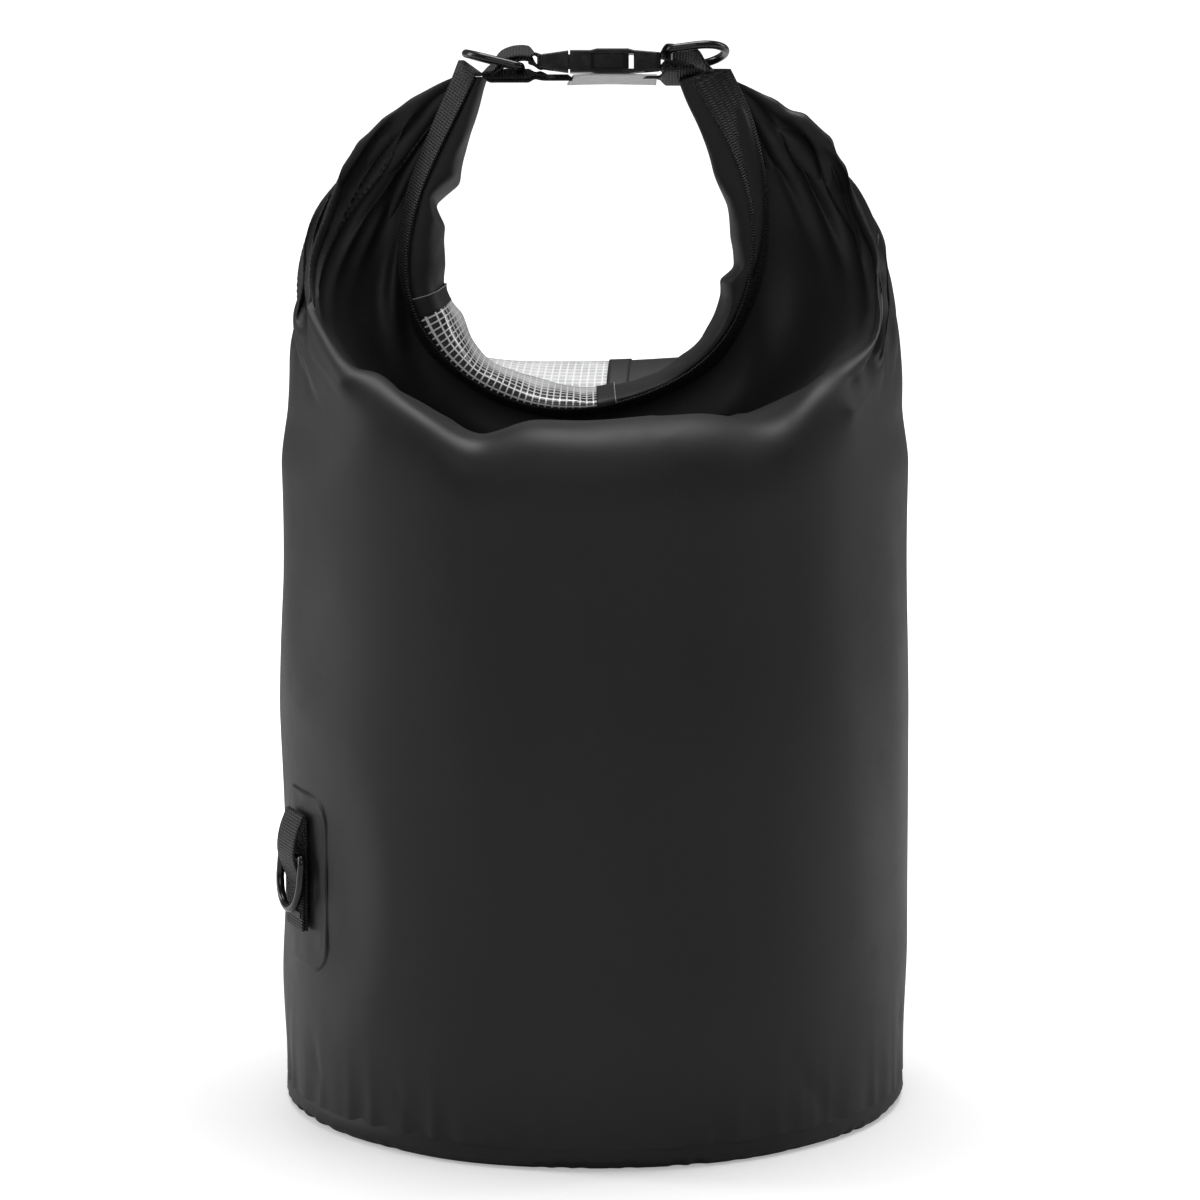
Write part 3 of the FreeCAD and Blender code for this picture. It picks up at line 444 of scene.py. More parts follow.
def mottled_sheet():
    """Cloudy spots, as a mask and as a faint bump."""
    tree, given, out = shared_effect(
        "Mottled sheet", {"Place": None, "Spot scale": 160.0}, {"Spots": "Float", "Normal": "Vector"}
    )
    spread = {"Vector": given["Place"], "Scale": given["Spot scale"], "Detail": 5.0}
    spots = node(tree, "ShaderNodeTexNoise", **spread)
    bump = node(tree, "ShaderNodeBump", Strength=0.1, Distance=0.0002, Height=spots.outputs[0])
    tree.links.new(spots.outputs[0], out["Spots"])
    tree.links.new(bump.outputs[0], out["Normal"])
    return tree


WOVEN_RIBS, MOULDED_SKIN = woven_ribs(), moulded_skin()
THREAD_MESH, MOTTLED_SHEET = thread_mesh(), mottled_sheet()


def webbing(name="Webbing", tone=0.007):
    """Woven webbing: ribs across it and cords along it, by the UV map in metres; its colour is painted
    light on the rib crests and painted shade in the grooves between them.
    """
    material, tree, shader = new_material(name)
    uv = node(tree, "ShaderNodeUVMap", uv_map="cloth").outputs[0]
    weave = placed(tree, WOVEN_RIBS, Place=uv)
    tree.links.new(weave["Normal"], shader.inputs["Normal"])
    # painted shade and highlight: darker in the grooves, lighter on the rib crests
    colour = mix_colour(tree, weave["Light"], grey(tone * 0.2), grey(tone * 2.6))
    tree.links.new(colour, shader.inputs["Base Color"])
    shader.inputs["Roughness"].default_value = 0.55
    shader.inputs["Specular IOR Level"].default_value = 0.35
    shader.inputs["Sheen Weight"].default_value = 0.05
    shader.inputs["Sheen Roughness"].default_value = 0.5
    return material


def moulded(name, tone=0.004, roughness=0.2):
    """Black moulded plastic: nearly smooth, with a faint flow texture and softer worn patches."""
    material, tree, shader = new_material(name)
    place = node(tree, "ShaderNodeTexCoord").outputs["Object"]
    skin = placed(tree, MOULDED_SKIN, Place=place)
    tree.links.new(skin["Normal"], shader.inputs["Normal"])
    rough = ramp(tree, skin["Wear"], 0.35, 0.7, roughness - 0.05, roughness + 0.1)
    tree.links.new(rough, shader.inputs["Roughness"])
    colour = mix_colour(tree, skin["Wear"], grey(tone * 0.7), grey(tone * 1.5))
    tree.links.new(colour, shader.inputs["Base Color"])
    return material


def reinforced_film(name, clear=None, hazy=None):
    """Clear film over a mesh of white threads, by the UV map in metres. The film is opaque: where clear
    it is painted near-black, the shaded inside of the bag seen through it; where hazy it is near-white,
    its own milky haze with painted light coming through from behind.

    If clear and hazy are given, the haze fades in between those distances, on a wandering line.
    """
    material, tree, shader = new_material(name)
    uv = node(tree, "ShaderNodeUVMap", uv_map="cloth").outputs[0]
    film = placed(tree, THREAD_MESH, Place=uv)
    cloudy = ramp(tree, film["Haze"], 0.3, 0.7, 0.45, 0.75)
    if clear is not None:
        apart = node(tree, "ShaderNodeSeparateXYZ", Vector=uv)
        wander_range = 0.014
        start = math_node(tree, "SUBTRACT", apart.outputs[1], wander_range / 2)
        wander = math_node(tree, "MULTIPLY_ADD", film["Haze"], wander_range, start)
        cloudy = math_node(tree, "MULTIPLY", cloudy, ramp(tree, wander, clear, hazy, 0.03, 1.0))
    # painted shade and light: near-black where the film is clear, for the shaded inside seen through it;
    # near-white where hazy, the film's own haze and painted light coming through
    behind = mix_colour(tree, cloudy, grey(0.008), grey(0.95))
    tree.links.new(mix_colour(tree, film["Threads"], behind, grey(0.85)), shader.inputs["Base Color"])
    tree.links.new(ramp(tree, film["Haze"], 0.3, 0.75, 0.12, 0.28), shader.inputs["Roughness"])
    tree.links.new(film["Normal"], shader.inputs["Normal"])
    shader.inputs["Coat Weight"].default_value = 0.5
    shader.inputs["Coat Roughness"].default_value = 0.08
    return material


def plain_sheet(name, tone, roughness):
    """A flexible plastic sheet, faintly mottled."""
    material, tree, shader = new_material(name)
    place = node(tree, "ShaderNodeTexCoord").outputs["Object"]
    sheet = placed(tree, MOTTLED_SHEET, Place=place)
    colour = mix_colour(tree, sheet["Spots"], grey(tone * 0.85), grey(tone * 1.12))
    tree.links.new(colour, shader.inputs["Base Color"])
    tree.links.new(sheet["Normal"], shader.inputs["Normal"])
    shader.inputs["Roughness"].default_value = roughness
    return material


CLOTH = tarpaulin()
WEB = webbing()
FILM = reinforced_film("Reinforced film")
# on the roll the film is clear, and so painted dark, along the first stretch of its way round from the
# lower front
FILM_CLEAR = reinforced_film("Reinforced film over the roll", 0.012, 0.023)
LINE = plain_sheet("Weld line", 0.3, 0.4)
BUCKLE_PLASTIC = moulded("Buckle plastic")
RING_PLASTIC = moulded("Ring plastic", 0.004, 0.2)
PALE = plain_sheet("Pale guard sheet", 0.82, 0.5)
STIFF = plain_sheet("Stiffener strip", 0.02, 0.5)
THREAD = webbing("Bonded thread", 0.02)

# ---------------------------------------------------------------- the wall as cloth

AROUND, UPWARD = ((240, 170))
FINE_AROUND, FINE_LOW, FINE_HIGH = ((440, 52, 170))
FRONT_TO_BACK = AROUND // 2


def mouth_places(column):
    """q and side for a column: along the front from left to right, then back along the rear."""
    back = column >= FRONT_TO_BACK
    behind = 1 - 2 * (column - FRONT_TO_BACK) / FRONT_TO_BACK
    return np.where(back, behind, -1 + 2 * column / FRONT_TO_BACK), back


def first_shape():
    """The wall before it settles, on rows evenly spaced up the cloth, and each column's length."""
    q, back = mouth_places(np.arange(AROUND))
    t = np.linspace(0, 2, 400)[:, None] * np.ones(AROUND)
    dense = wall_skin(q[None, :] + 0 * t, back[None, :] & (t >= 0), t)
    steps = np.linalg.norm(np.diff(dense, axis=0), axis=-1)
    reach = np.concatenate([np.zeros((1, AROUND)), np.cumsum(steps, axis=0)])
    lengths = reach[-1]
    points = np.zeros((UPWARD + 1, AROUND, 3))
    for j in range(AROUND):
        wanted = np.linspace(0, lengths[j], UPWARD + 1)
        for k in range(3):
            points[:, j, k] = np.interp(wanted, reach[:, j], dense[:, j, k])
    return points, lengths, q, back


def refined(values, places, axis, closed=False):
    """Values read between the rows or columns of a grid with a smooth cubic."""
    values = np.moveaxis(values, axis, 0)
    count = len(values)
    low = np.floor(places).astype(int)
    if not closed:
        low = np.clip(low, 0, count - 2)
    t = (places - low).reshape((-1,) + (1,) * (values.ndim - 1))
    take = [(low + k) % count if closed else np.clip(low + k, 0, count - 1) for k in (-1, 0, 1, 2)]
    a, b, c, d = (values[k] for k in take)
    out = b + 0.5 * t * (c - a + t * (2 * a - 5 * b + 4 * c - d + t * (3 * (b - c) + d - a)))
    return np.moveaxis(out, 0, axis)


def laplacian(x):
    """Each inner point's four neighbours' mean, less the point."""
    out = np.zeros_like(x)
    around = np.roll(x, 1, 1)[1:-1] + np.roll(x, -1, 1)[1:-1]
    out[1:-1] = (x[2:] + x[:-2] + around) / 4 - x[1:-1]
    return out


def settle(points, lengths, rounds):
    """Relaxes the wall as cloth, from its first shape.

    Each round moves a point by the sum of its edges' and diagonals' errors in length, less a share of
    the second Laplacian, which resists bending, plus a push along the normal from the rope inside.
    """
    spare, held_share, ramp_rows, noise_depth = 0.12, 0.46, 36, 1.3
    pull, stiffness, push, farthest = 0.42, 0.22, 0.008, 7.0
    cut = lengths + spare * (lengths.max() - lengths)
    up = cut[None, :] / (len(points) - 1) * np.ones((len(points) - 1, 1))
    around = 2 * math.pi * RADIUS / AROUND
    diagonal = np.sqrt(up**2 + around**2)
    x, start = points.copy(), points.copy()
    fixed = int(len(points) * held_share)
    free = np.ones((len(points), AROUND, 1))
    free[:fixed] = 0
    free[-1] = 0
    free[fixed : fixed + ramp_rows] = smooth(np.linspace(0, 1, ramp_rows))[:, None, None]
    free[-4:-1] = np.array([0.75, 0.5, 0.25])[:, None, None]
    fill = smooth((400 - start[..., 2]) / 60.0)[..., None]
    inside = smooth((np.hypot(start[..., 0], start[..., 1]) - 60) / 50.0)[..., None]
    noise = waves(3, 10, (30, 75), start[..., 0], start[..., 1], start[..., 2])[..., None]
    top = smooth((start[..., 2] - 320) / 50.0)[..., None]
    x += normals_of(x, True) * noise * noise_depth * top * free
    for step in range(rounds):
        move = np.zeros_like(x)
        d = x[1:] - x[:-1]
        size = np.linalg.norm(d, axis=-1)
        c = d * (np.where(size > up, 0.5, 0.22) * (size - up) / size)[..., None]
        move[:-1] += c
        move[1:] -= c
        d = np.roll(x, -1, 1) - x
        size = np.linalg.norm(d, axis=-1)
        c = d * (np.where(size > around, 0.5, 0.16) * (size - around) / size)[..., None]
        move += c
        move -= np.roll(c, 1, 1)
        for shift in (-1, 1):
            d = np.roll(x, shift, 1)[1:] - x[:-1]
            size = np.linalg.norm(d, axis=-1)
            c = d * (np.where(size > diagonal, 0.3, 0.06) * (size - diagonal) / size)[..., None]
            move[:-1] += c
            move[1:] -= np.roll(c, -shift, 1)
        move = move * pull - stiffness * laplacian(laplacian(x))
        if step % 3 == 0:
            normal = normals_of(x, True)
        move += normal * (push * fill * inside)
        x += move * free
        away = x - start
        far = np.linalg.norm(away, axis=-1, keepdims=True)
        x = start + away * np.minimum(1, farthest / np.maximum(far, 1e-9))
    return x


def near_line(points, line):
    """How far each point is from a line through space, in mm."""
    best = np.full(points.shape[:2], 1e9)
    for a, b in zip(line[:-1], line[1:]):
        along = b - a
        f = np.clip(((points - a) @ along) / max(along @ along, 1e-6), 0, 1)
        best = np.minimum(best, np.linalg.norm(points - (a + f[..., None] * along), axis=-1))
    return best


def crease(points, q, back, places, depth, width, rear=False):
    """How far a crease lifts or sinks each point.

    It falls off as the exponential of the distance from its line over a width, and is less at its ends.
    """
    anchors = []
    rows = len(points)
    sharpening = 1.25
    for place, height in places:
        j = int(np.argmin(np.abs(q - place) + 10 * (back != rear)))
        rising = points[: int(rows * (0.8 if height < 425 else 1.0)), j, 2]
        anchors.append(points[int(np.argmin(np.abs(rising - height))), j])
    line = np.array(anchors)
    gap = near_line(points, line)
    ends = np.minimum(*(np.linalg.norm(points - end, axis=-1) for end in (line[0], line[-1])))
    total = np.linalg.norm(np.diff(line, axis=0), axis=1).sum()
    fade = 0.35 + 0.65 * smooth(ends / max(0.3 * total, 1.0))
    return sharpening * depth * np.exp(-np.sqrt(gap**2 + 0.5) / width) * fade


CREASES = [
    # the fold from the left ear down to the lip, its ridge below and a finer one beside it
    ([(-0.99, 402), (-0.80, 392), (-0.52, 372), (-0.26, 352)], 3.4, 9.0),
    ([(-0.97, 412), (-0.78, 402), (-0.50, 383), (-0.22, 360)], -4.2, 7.5),
    ([(-0.99, 384), (-0.84, 376), (-0.62, 358)], -1.6, 4.0),
    ([(-0.99, 392), (-0.93, 386)], -3.5, 4.0),
    # the hooked fold at the right and the corner where the lip ends
    ([(0.80, 398), (0.74, 384), (0.58, 370), (0.44, 360)], -4.4, 6.0),
    ([(0.84, 384), (0.72, 372), (0.55, 358), (0.38, 350)], 2.6, 7.0),
    ([(0.40, 350), (0.30, 353), (0.15, 352)], 1.6, 5.0),
    ([(0.93, 420), (0.86, 402), (0.80, 390)], 2.2, 9.0),
    # the lip at the front
    ([(-0.30, 353), (-0.12, 356), (0.12, 355), (0.34, 352)], 2.2, 7.0),
    # the ears
    ([(0.95, 488), (0.88, 452), (0.82, 415)], -8.0, 8.0),
    ([(0.995, 493), (0.985, 484), (0.97, 470)], 6.0, 8.0),
    ([(-0.93, 486), (-0.86, 450), (-0.80, 420)], -6.5, 11.0),
    ([(-0.995, 493), (-0.975, 470)], 2.4, 10.0),
    # low on the wall
    ([(0.42, 44), (0.50, 24), (0.55, 12)], -1.3, 3.2),
    ([(0.30, 30), (0.36, 16)], -1.1, 3.0),
    ([(0.86, 52), (0.92, 26)], -1.4, 4.0),
    ([(-0.44, 30), (-0.38, 14)], -1.1, 3.0),
    ([(-0.72, 40), (-0.66, 18)], -1.0, 3.4),
]
REAR_CREASES = [
    ([(-0.97, 404), (-0.72, 388), (-0.48, 366)], -3.2, 7.0),
    ([(0.97, 402), (0.70, 386), (0.40, 364)], -3.6, 7.0),
    ([(0.60, 60), (0.68, 20)], -1.4, 4.0),
    ([(-0.55, 46), (-0.62, 16)], -1.3, 4.0),
    ([(0.93, 486), (0.88, 445)], -5.0, 9.0),
    ([(-0.93, 486), (-0.88, 445)], -5.0, 9.0),
]
TAB_HEIGHT = 121.0


def make_wall():
    """The settled wall on its finer grid, moved along its normals by its creases and by waves.

    The waves are a soft unevenness, a belly, finer waves on the ears and puckers over the base, and
    they die away round the side tab. The last rows run on into the middle of the roll.
    """
    points, lengths, q, back = first_shape()
    coarse = settle(points, lengths, 260)
    rows = len(coarse) - 1
    low = int(rows * 0.46)  # the rows below are plain, so fewer of them do
    row_at = [np.linspace(0, low, FINE_LOW, endpoint=False), np.linspace(low, rows, FINE_HIGH)]
    row_at = np.concatenate(row_at)
    column_at = np.arange(FINE_AROUND) / FINE_AROUND * AROUND
    x = refined(refined(coarse, row_at, 0), column_at, 1, True)
    q, back = mouth_places(column_at)
    angle = np.arctan2(x[..., 1], x[..., 0])
    out = normals_of(x, True)
    lift = sum(crease(x, q, back, *c) for c in CREASES)
    lift = lift + sum(crease(x, q, back, *c, True) for c in REAR_CREASES)
    z = x[..., 2]
    soft = waves(11, 8, (110, 280), angle * RADIUS, z * 0.6) * 1.0
    soft += waves(12, 9, (40, 90), angle * RADIUS, z * 0.35) * 0.28
    body = smooth((z - 10) / 60) * (1 - 0.6 * smooth((z - 330) / 40))
    belly = 3.2 * smooth((z - 12) / 70) * (1 - smooth((z - 190) / 120))
    from_tab = np.mod(angle - SIDE_ANGLE + math.pi, 2 * math.pi) - math.pi
    tab = np.hypot(from_tab * RADIUS, (z - TAB_HEIGHT) * 0.75)
    calm = smooth((tab - 42) / 40)
    high = smooth((z - 335) / 30)
    lift += (soft * body + belly) * calm + high * waves(13, 12, (22, 60), x[..., 0], x[..., 1], z) * 0.3
    above_base = np.maximum(z - 8, 0)
    pucker = np.abs(waves(21, 8, (18, 48), angle * RADIUS)) - 0.6
    pucker = pucker * np.exp(-((above_base / 24.0) ** 1.5))
    lift += 0.9 * np.exp(-((above_base / 40.0) ** 2)) - 1.05 * pucker
    # the sides of the shoulder are drawn in a little
    drawn_in = smooth((z - 318) / 30) * (1 - smooth((z - 405) / 30))
    lift -= 3.0 * drawn_in * smooth((np.abs(q) - 0.5) / 0.3)
    x = x + out * lift[..., None]
    # the lip drops at its two corners
    lip = smooth((x[..., 2] - 300) / 40) * smooth((-x[..., 1] - 60) / 40)
    corners = sum(np.exp(-(((x[..., 0] - place) / 20) ** 2)) for place in (-57, 80))
    x[..., 2] -= 9.0 * lip * corners
    at = q * ROLL_END
    near, half_y, middle_y = roll_shape(at)
    inside = beside_mouth(at, (near + roll_reach(at)) / 2, middle_y + half_y * np.where(back, 0.55, 0.1))
    inside_rows, inside_pitch = 8, 1.6
    steps = np.linspace(0, 1, inside_rows + 1)[1:, None, None]
    x = np.concatenate([x, x[-1] + (inside - x[-1]) * steps])
    reach = np.interp(row_at, np.arange(rows + 1), np.linspace(0, lengths.max(), rows + 1))
    reach = np.concatenate([reach, reach[-1] + inside_pitch * np.arange(1, inside_rows + 1)])
    u = np.arange(FINE_AROUND + 1) / FINE_AROUND * 2 * math.pi * RADIUS * MM
    return x, u, reach * MM, q, back


WALL, WALL_U, WALL_H, WALL_Q, WALL_BACK = make_wall()


def window_columns():
    """The columns of the wall that the window strip covers, from its left edge to its right."""
    quarter = math.pi * RADIUS / 2
    left = (WINDOW_MIDDLE - WINDOW_WIDTH / 2) / quarter
    right = (WINDOW_MIDDLE + WINDOW_WIDTH / 2) / quarter
    inside = np.flatnonzero(WALL_BACK & (WALL_Q >= left) & (WALL_Q <= right))
    return int(inside.min()), int(inside.max())


def wall_grid(first, last, lift=0.0):
    """Columns first to last of the wall, past the seam if last is more than the number of columns."""
    columns = np.arange(first, last + 1)
    points = (WALL + normals_of(WALL, True) * lift)[:, columns % FINE_AROUND]
    uv = stack(columns[None, :] * WALL_U[1], WALL_H[:, None])
    return points, uv


W0, W1 = window_columns()
wall_points, wall_uv = wall_grid(W1, W0 + FINE_AROUND)
bag_wall = grid_object("bag_wall", wall_points, wall_uv)
dress(bag_wall, CLOTH)
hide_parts("wall_panel")

window_points, window_uv = wall_grid(W0, W1)
window_sheet = grid_object("window_sheet", window_points, window_uv)
dress(window_sheet, FILM)
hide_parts("window_panel")

WELD_COLUMNS = max(int(round(WELD_WIDTH * MM / WALL_U[1])), 2)
for label, first, last in (
    ("window_weld_right", W0 - WELD_COLUMNS, W0 + 1),
    ("window_weld_left", W1 - 1, W1 + WELD_COLUMNS),
):
    weld_points, weld_uv = wall_grid(first, last, 0.75)
    weld = grid_object(label + "_strip", weld_points, weld_uv)
    dress(weld, CLOTH)
    thicken(weld, 0.55)
    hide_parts(label)


# ---------------------------------------------------------------- the base


def make_base():
    """The round base: rings round a quarter circle at its edge, less the gathers, then a flat disc."""
    turns = 520
    angle = np.linspace(0, 2 * math.pi, turns, endpoint=False)
    gathers = np.abs(waves(31, 9, (15, 40), angle * RADIUS)) - 0.55
    coarse = waves(32, 6, (60, 170), angle * RADIUS)
    edge, outer = 5.0, RADIUS + 1.2
    rings = []
    for k in range(17):
        a = math.pi / 2 * k / 16
        depth = math.sin(a) ** 0.8
        fading = 1 - 0.5 * (k / 16) ** 4
        r = outer - edge * (1 - math.cos(a)) - depth * (1.5 * gathers + 0.9 * coarse) * fading
        z = edge * (1 - math.sin(a)) + 0.55 * math.sin(2 * a) * np.abs(gathers) + 0 * angle
        rings.append(stack(r * np.cos(angle), r * np.sin(angle), z))
    inner = rings[-1]
    middle = inner[:, :2].mean(axis=0)
    for f in np.linspace(0.93, 0.02, 9):
        flat = middle + (inner[:, :2] - middle) * f
        rings.append(stack(flat[:, 0], flat[:, 1], 0.0))
    top = stack(*((RADIUS - 0.8) * np.array([np.cos(angle), np.sin(angle)])), 14.0)
    lower = stack(*((outer - 0.1) * np.array([np.cos(angle), np.sin(angle)])), 9.0)
    points = np.array([top, lower] + rings)[::-1]
    uv = stack(angle[None, :] * RADIUS * MM, np.arange(len(points))[:, None] * 0.004)
    return grid_object("bag_base", points, uv, wrap=True)


bag_base = make_base()
dress(bag_base, CLOTH)
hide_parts("base_pan")


# ---------------------------------------------------------------- the rolled mouth


def under_strap(points, drop):
    """Points kept below the plane of the straps' lower layers, where the roll's ends are cut."""
    points = points.copy()
    plane = GEAR[2] + (points[..., 1] - GEAR[1]) * math.tan(GEAR_TILT) - drop / math.cos(GEAR_TILT)
    points[..., 2] = np.minimum(points[..., 2], plane)
    return points


def make_roll():
    """The rolled mouth, bulging between its pinches, its ends turned in under the straps."""
    steps, sides = ((560, 72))
    q = np.linspace(-1.0, 1.0, steps)[:, None]
    angle = np.linspace(0, 2 * math.pi, sides, endpoint=False)[None, :]
    points = on_roll(q, angle)
    path = q * MOUTH_LENGTH / 2
    uv = stack((path + 0 * angle) * MM, (20 * np.cos(angle) + 0 * q) * MM)
    caps = []
    for row, towards in ((0, -1), (-1, 1)):
        rim = points[row]
        middle = rim.mean(axis=0)
        heading = mouth_heading(towards)
        out = np.array([math.cos(heading), 0, math.sin(heading)]) * towards
        turns = []
        for k in range(1, 6):
            step_out = 0.8 if k % 2 else -0.6
            turns.append(middle + (rim - middle) * (1 - 0.16 * k) + out * step_out)
        caps.append(turns)
    points = np.concatenate([np.array(caps[0][::-1]), points, np.array(caps[1])])
    uv = np.concatenate([np.repeat(uv[:1], 5, 0), uv, np.repeat(uv[-1:], 5, 0)])
    return under_strap(points, 7.4), uv


roll_points, roll_uv = make_roll()
rolled_mouth = grid_object("rolled_mouth", roll_points, roll_uv, wrap=True, close_ends=True)
dress(rolled_mouth, CLOTH)
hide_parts("top_roll")


def roll_strip(name, left, right, lift, material, columns, spread=(3.5, 0.35)):
    """A strip over the roll's front and inner face, left to right in mm along the mouth."""
    half = MOUTH_LENGTH / 2
    q = np.linspace(left, right, columns)[:, None] / half
    angle = np.linspace(*spread, 44)[None, :]
    points = on_roll(q, angle, lift)
    far = np.linalg.norm(np.diff(points, axis=1), axis=-1).mean(axis=0)
    around = np.concatenate([[0], np.cumsum(far)])[None, :]
    uv = stack((q * half + 0 * angle) * MM, (around + 0 * q) * MM)
    made = grid_object(name, points, uv)
    dress(made, material)
    thicken(made, 0.45)
    return made


WINDOW_LEFT, WINDOW_RIGHT = WINDOW_MIDDLE - WINDOW_WIDTH / 2, WINDOW_MIDDLE + WINDOW_WIDTH / 2
window_on_roll = roll_strip(
    "window_on_roll", WINDOW_LEFT, WINDOW_RIGHT, 0.55, FILM_CLEAR, 120
)
weld_on_roll_left = roll_strip(
    "weld_on_roll_left", WINDOW_LEFT - WELD_WIDTH, WINDOW_LEFT + 1.2, 0.8, CLOTH, 12
)
weld_on_roll_right = roll_strip(
    "weld_on_roll_right", WINDOW_RIGHT - 1.2, WINDOW_RIGHT + WELD_WIDTH, 0.8, CLOTH, 12
)
LINE_OUT, LINE_IN = WELD_WIDTH + 0.35, WELD_WIDTH - 0.15
weld_line_left = roll_strip(
    "weld_line_left", WINDOW_LEFT - LINE_OUT, WINDOW_LEFT - LINE_IN, 1.0, LINE, 2
)
weld_line_right = roll_strip(
    "weld_line_right", WINDOW_RIGHT + LINE_IN, WINDOW_RIGHT + LINE_OUT, 1.0, LINE, 2
)


def band(name, point_at, ends, width, thickness, steps):
    """A flat section with rounded edges, carried along q: point_at gives (q, across, out) a place."""
    edge = thickness / 2
    section = []
    for middle, start in ((width - edge, -90), (edge, 90)):
        for a in np.radians(np.linspace(start, start + 180, 5)):
            section.append((middle + edge * math.cos(a), edge + edge * math.sin(a)))
        way, height = (np.linspace(1, 0, 9), thickness) if start < 0 else (np.linspace(0, 1, 9), 0.0)
        section += [(edge + f * (width - 2 * edge), height) for f in way[1:-1]]
    across, out = (np.array(values)[None, :] for values in zip(*section))
    q = np.linspace(*ends, steps)[:, None]
    points = point_at(q + 0 * across, across + 0 * q, out + 0 * q)
    apart = np.linalg.norm(np.diff(points[:, 0], axis=0), axis=-1)
    path = np.concatenate([[0], np.cumsum(apart)])[:, None]
    uv = stack((across + 0 * path) * MM, (path + 0 * across) * MM)
    return grid_object(name, points, uv, wrap=True, close_ends=True)


def rim_place(q, across, out):
    """The rim webbing: across from its front edge, out from the stiffener, cut under the straps."""
    path = q * MOUTH_LENGTH / 2
    out = out + 0.4 + waves(51, 6, (30, 80), path) * 0.35 * smooth(across / 20) + 3.0 * twisted(q)
    turn = rim_turn(q)
    inward = rim_middle(q) + (10 - across) * np.sin(turn) - out * np.cos(turn)
    y = across * np.cos(turn) - out * np.sin(turn) - ROLL_WIDTH / 2 - 0.6
    return under_strap(beside_mouth(q, inward, y), np.where(q < 0, -1.0 + 0.35 * (20 - across), 3.6))


stiffener_strip = band(
    "stiffener_strip",
    lambda q, across, out: rim_place(q, across + 2.0, out - 0.95),
    (-0.96, 0.96),
    16.0,
    0.8,
    320,
)
dress(stiffener_strip, STIFF)
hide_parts("mouth_stiffener")

rim_band = band("rim_band", rim_place, (-1.0, 1.02), 20.0, 1.4, 460)
dress(rim_band, WEB)
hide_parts("rim_webbing")

# ---------------------------------------------------------------- straps


def gear_place(x, y, z):
    """From the buckle's own frame, mm, to the bag's."""
    c, s = math.cos(GEAR_TILT), math.sin(GEAR_TILT)
    return stack(GEAR[0] + x, GEAR[1] + y * c - z * s, GEAR[2] + y * s + z * c)


def loop_line(tail_end, ring_place, rise, below):
    """A strap's line, out along its tail, back through the ring and round the buckle's bar."""
    bar = BUCKLE_LENGTH / 2 - BAR_DIAMETER / 2
    wrap = BAR_DIAMETER / 2 + 0.35 + STRAP_THICKNESS / 2
    low, reach = -TAIL_DROP, STRAP_REACH
    line = [(tail_end, low), ((tail_end + bar) / 2, low), (bar, low), (ring_place + 4, low)]
    line += [(reach - 6, low), (reach - 1, low + 0.1), (reach + 0.9, low + 1.6)]
    line += [(reach - 0.8, low + 3.2), (reach - 4, low + 4.9), (reach - 8, rise - 2.8)]
    line += [(ring_place + 5, rise - 0.7), (ring_place, rise), (ring_place - 3, rise - 0.3)]
    line += [(bar + 1.4, wrap + 0.2)] if below else [(bar + 3, wrap + 1.1)]
    for turn in (90, 140, 180, 220, 270):
        angle = math.radians(turn)
        line.append((bar + wrap * math.cos(angle), wrap * math.sin(angle)))
    if below:
        line += [(bar + 3, -wrap - 0.3), (ring_place + 4, low + 3.2), (ring_place + 9, low + 1.9)]
        line += [(ring_place + 12, low + 1.75)]
    else:
        line += [(bar + 2.1, -wrap + 0.9), (bar + 3.6, -0.2), (bar + 5.4, rise - 3.1)]
    return line


def curve_through(points, spacing):
    """Close, even points along a smooth curve through points in a plane (Catmull-Rom)."""
    points = np.array(points)
    p = np.vstack([2 * points[0] - points[1], points, 2 * points[-1] - points[-2]])
    dense = []
    for i in range(1, len(p) - 2):
        a, b, c, d = p[i - 1 : i + 3]
        ta, tc = [np.linalg.norm(v) ** 0.5 for v in (b - a, d - c)]
        tb = np.linalg.norm(c - b) ** 0.5
        m0 = ((b - a) / ta - (c - a) / (ta + tb) + (c - b) / tb) * tb
        m1 = ((c - b) / tb - (d - b) / (tb + tc) + (d - c) / tc) * tb
        t = np.linspace(0, 1, 24, endpoint=False)[:, None]
        h = [2 * t**3 - 3 * t**2 + 1, t**3 - 2 * t**2 + t, -2 * t**3 + 3 * t**2, t**3 - t**2]
        dense.append(h[0] * b + h[1] * m0 + h[2] * c + h[3] * m1)
    dense = np.vstack(dense + [p[-2:-1]])
    reach = np.concatenate([[0], np.cumsum(np.linalg.norm(np.diff(dense, axis=0), axis=1))])
    wanted = np.linspace(0, reach[-1], max(int(reach[-1] / spacing), 12))
    return stack(np.interp(wanted, reach, dense[:, 0]), np.interp(wanted, reach, dense[:, 1]))


